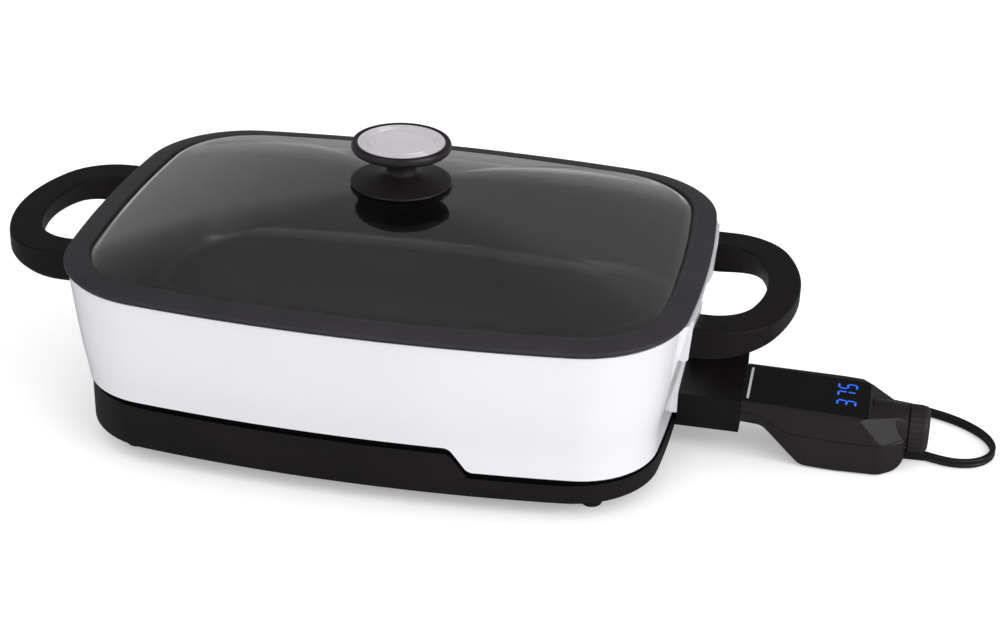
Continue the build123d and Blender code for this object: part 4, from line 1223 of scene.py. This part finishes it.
# carried-over nodes get their own finishes
keptFinishes = (
    (nonstick, "pan"),
    (footRubber, "feet"),
    (elementSheath, "heating_element"),
    (ceramic, "pin_insulators"),
    (platedSteel, "terminal_pins base_screws handle_screws control_screws knob_screw screw_washer"),
    (platedSteel, "probe dial_shaft encoder"),
    (bandRubber, "knob_washer"),
    (spunSilver, "trim_line"),
    (glossBlack, "display_module"),
    (boardGreen, "circuit_board"),
    (relayCase, "relay"),
    (phenolic, "contact_block"),
    (brass, "contact_sleeves plug_blades"),
    (vinyl, "strain_relief plug_body"),
)
for finish, names in keptFinishes:
    for name in names.split():
        mesh = nodes[name].data
        mesh.materials.clear()
        mesh.materials.append(finish)
print("kept nodes finished")

# floor, backdrop and light
studio = {
    "fill": 0.82,
    "through": 0.55,
    "gloss": (
        (0.0, 0.3), (0.02, 0.28), (0.12, 0.26), (0.25, 0.2), (0.4, 0.1), (0.6, 0.05), (1.0, 0.08),
    ),
    "floor": 0.93,
    "floorInGloss": 0.32,
    "lift": 0.3,
    "floorSize": 9.0,
}
white = (1, 1, 1, 1)


def studioWorld():
    # Even fill for the object, dimmer through glass; in gloss, a pale horizon that darkens upwards.
    world = bpy.data.worlds.new("studio")
    bpy.context.scene.world = world
    make = Finish("studio", world)
    direction = make.node("ShaderNodeTexCoord", output="Generated")
    height = make.node("ShaderNodeSeparateXYZ", inputs={"Vector": direction}, output="Z")
    stops = [(position, (level, level, level * 1.01)) for position, level in studio["gloss"]]
    shown, through, backdrop = (
        make.node("ShaderNodeBackground", inputs={"Color": white, "Strength": strength})
        for strength in (studio["fill"], studio["through"], 1.0)
    )
    gloss = make.node("ShaderNodeBackground", inputs={"Color": make.ramp(height, *stops)})
    for ray, other in (("Glossy", gloss), ("Transmission", through), ("Camera", backdrop)):
        share = make.node("ShaderNodeLightPath", output=f"Is {ray} Ray")
        shown = make.node("ShaderNodeMixShader", inputs={0: share, 1: shown, 2: other})
    make.node("ShaderNodeOutputWorld", inputs={"Surface": shown})


def floorFinish():
    # Pale matt surface, dimmer in gloss; seen directly it is lifted to white outside the shadow.
    make = Finish("paleFloor")
    speck = make.noise(3, 2)
    level = studio["floor"]
    pale = make.ramp(speck, (0.3, (level - 0.005,) * 3), (0.7, (level,) * 3))
    matt = make.node("ShaderNodeBsdfDiffuse", inputs={"Color": pale})
    lift = make.node("ShaderNodeEmission", inputs={"Color": white, "Strength": studio["lift"]})
    both = make.node("ShaderNodeAddShader", inputs={0: matt, 1: lift})
    seen, through, mirrored = (
        make.node("ShaderNodeLightPath", output=f"Is {ray} Ray")
        for ray in ("Camera", "Transmission", "Glossy")
    )
    blend = make.node("ShaderNodeMixShader", inputs={0: seen + through, 1: matt, 2: both})
    dim = make.node("ShaderNodeBsdfDiffuse", inputs={"Color": (*(studio["floorInGloss"],) * 3, 1)})
    blend = make.node("ShaderNodeMixShader", inputs={0: mirrored, 1: blend, 2: dim})
    make.node("ShaderNodeOutputMaterial", inputs={"Surface": blend})
    return make.material


def softbox(name, spot, target, width, height, power):
    data = bpy.data.lights.new(name, "AREA")
    data.shape = "RECTANGLE"
    data.size, data.size_y = width, height
    data.energy = power
    lamp = bpy.data.objects.new(name, data)
    bpy.context.scene.collection.objects.link(lamp)
    turn = (Vector(spot) - Vector(target)).to_track_quat("Z", "Y").to_matrix()
    lamp.matrix_world = Matrix.Translation(spot) @ turn.to_4x4()


studioWorld()
bpy.ops.object.select_all(action="DESELECT")
bpy.ops.mesh.primitive_grid_add(
    x_subdivisions=8, y_subdivisions=8, size=studio["floorSize"], location=(0, 0, -0.0002)
)
floor = bpy.context.active_object
floor.name = "floor"
bpy.ops.object.transform_apply(location=True, rotation=True, scale=True)
floor.data.materials.append(floorFinish())
softbox("keyLight", (1.15, -0.95, 1.05), (0, 0, 0.05), 1.0, 1.0, 5.7)
softbox("edgeLight", (1.95, -0.45, 0.86), (0.25, 0, 0.03), 0.6, 0.5, 8)
softbox("fillLight", (-0.7, -1.6, 1.3), (0, 0, 0.05), 1.4, 1.0, 4.5)
print("studio lit")
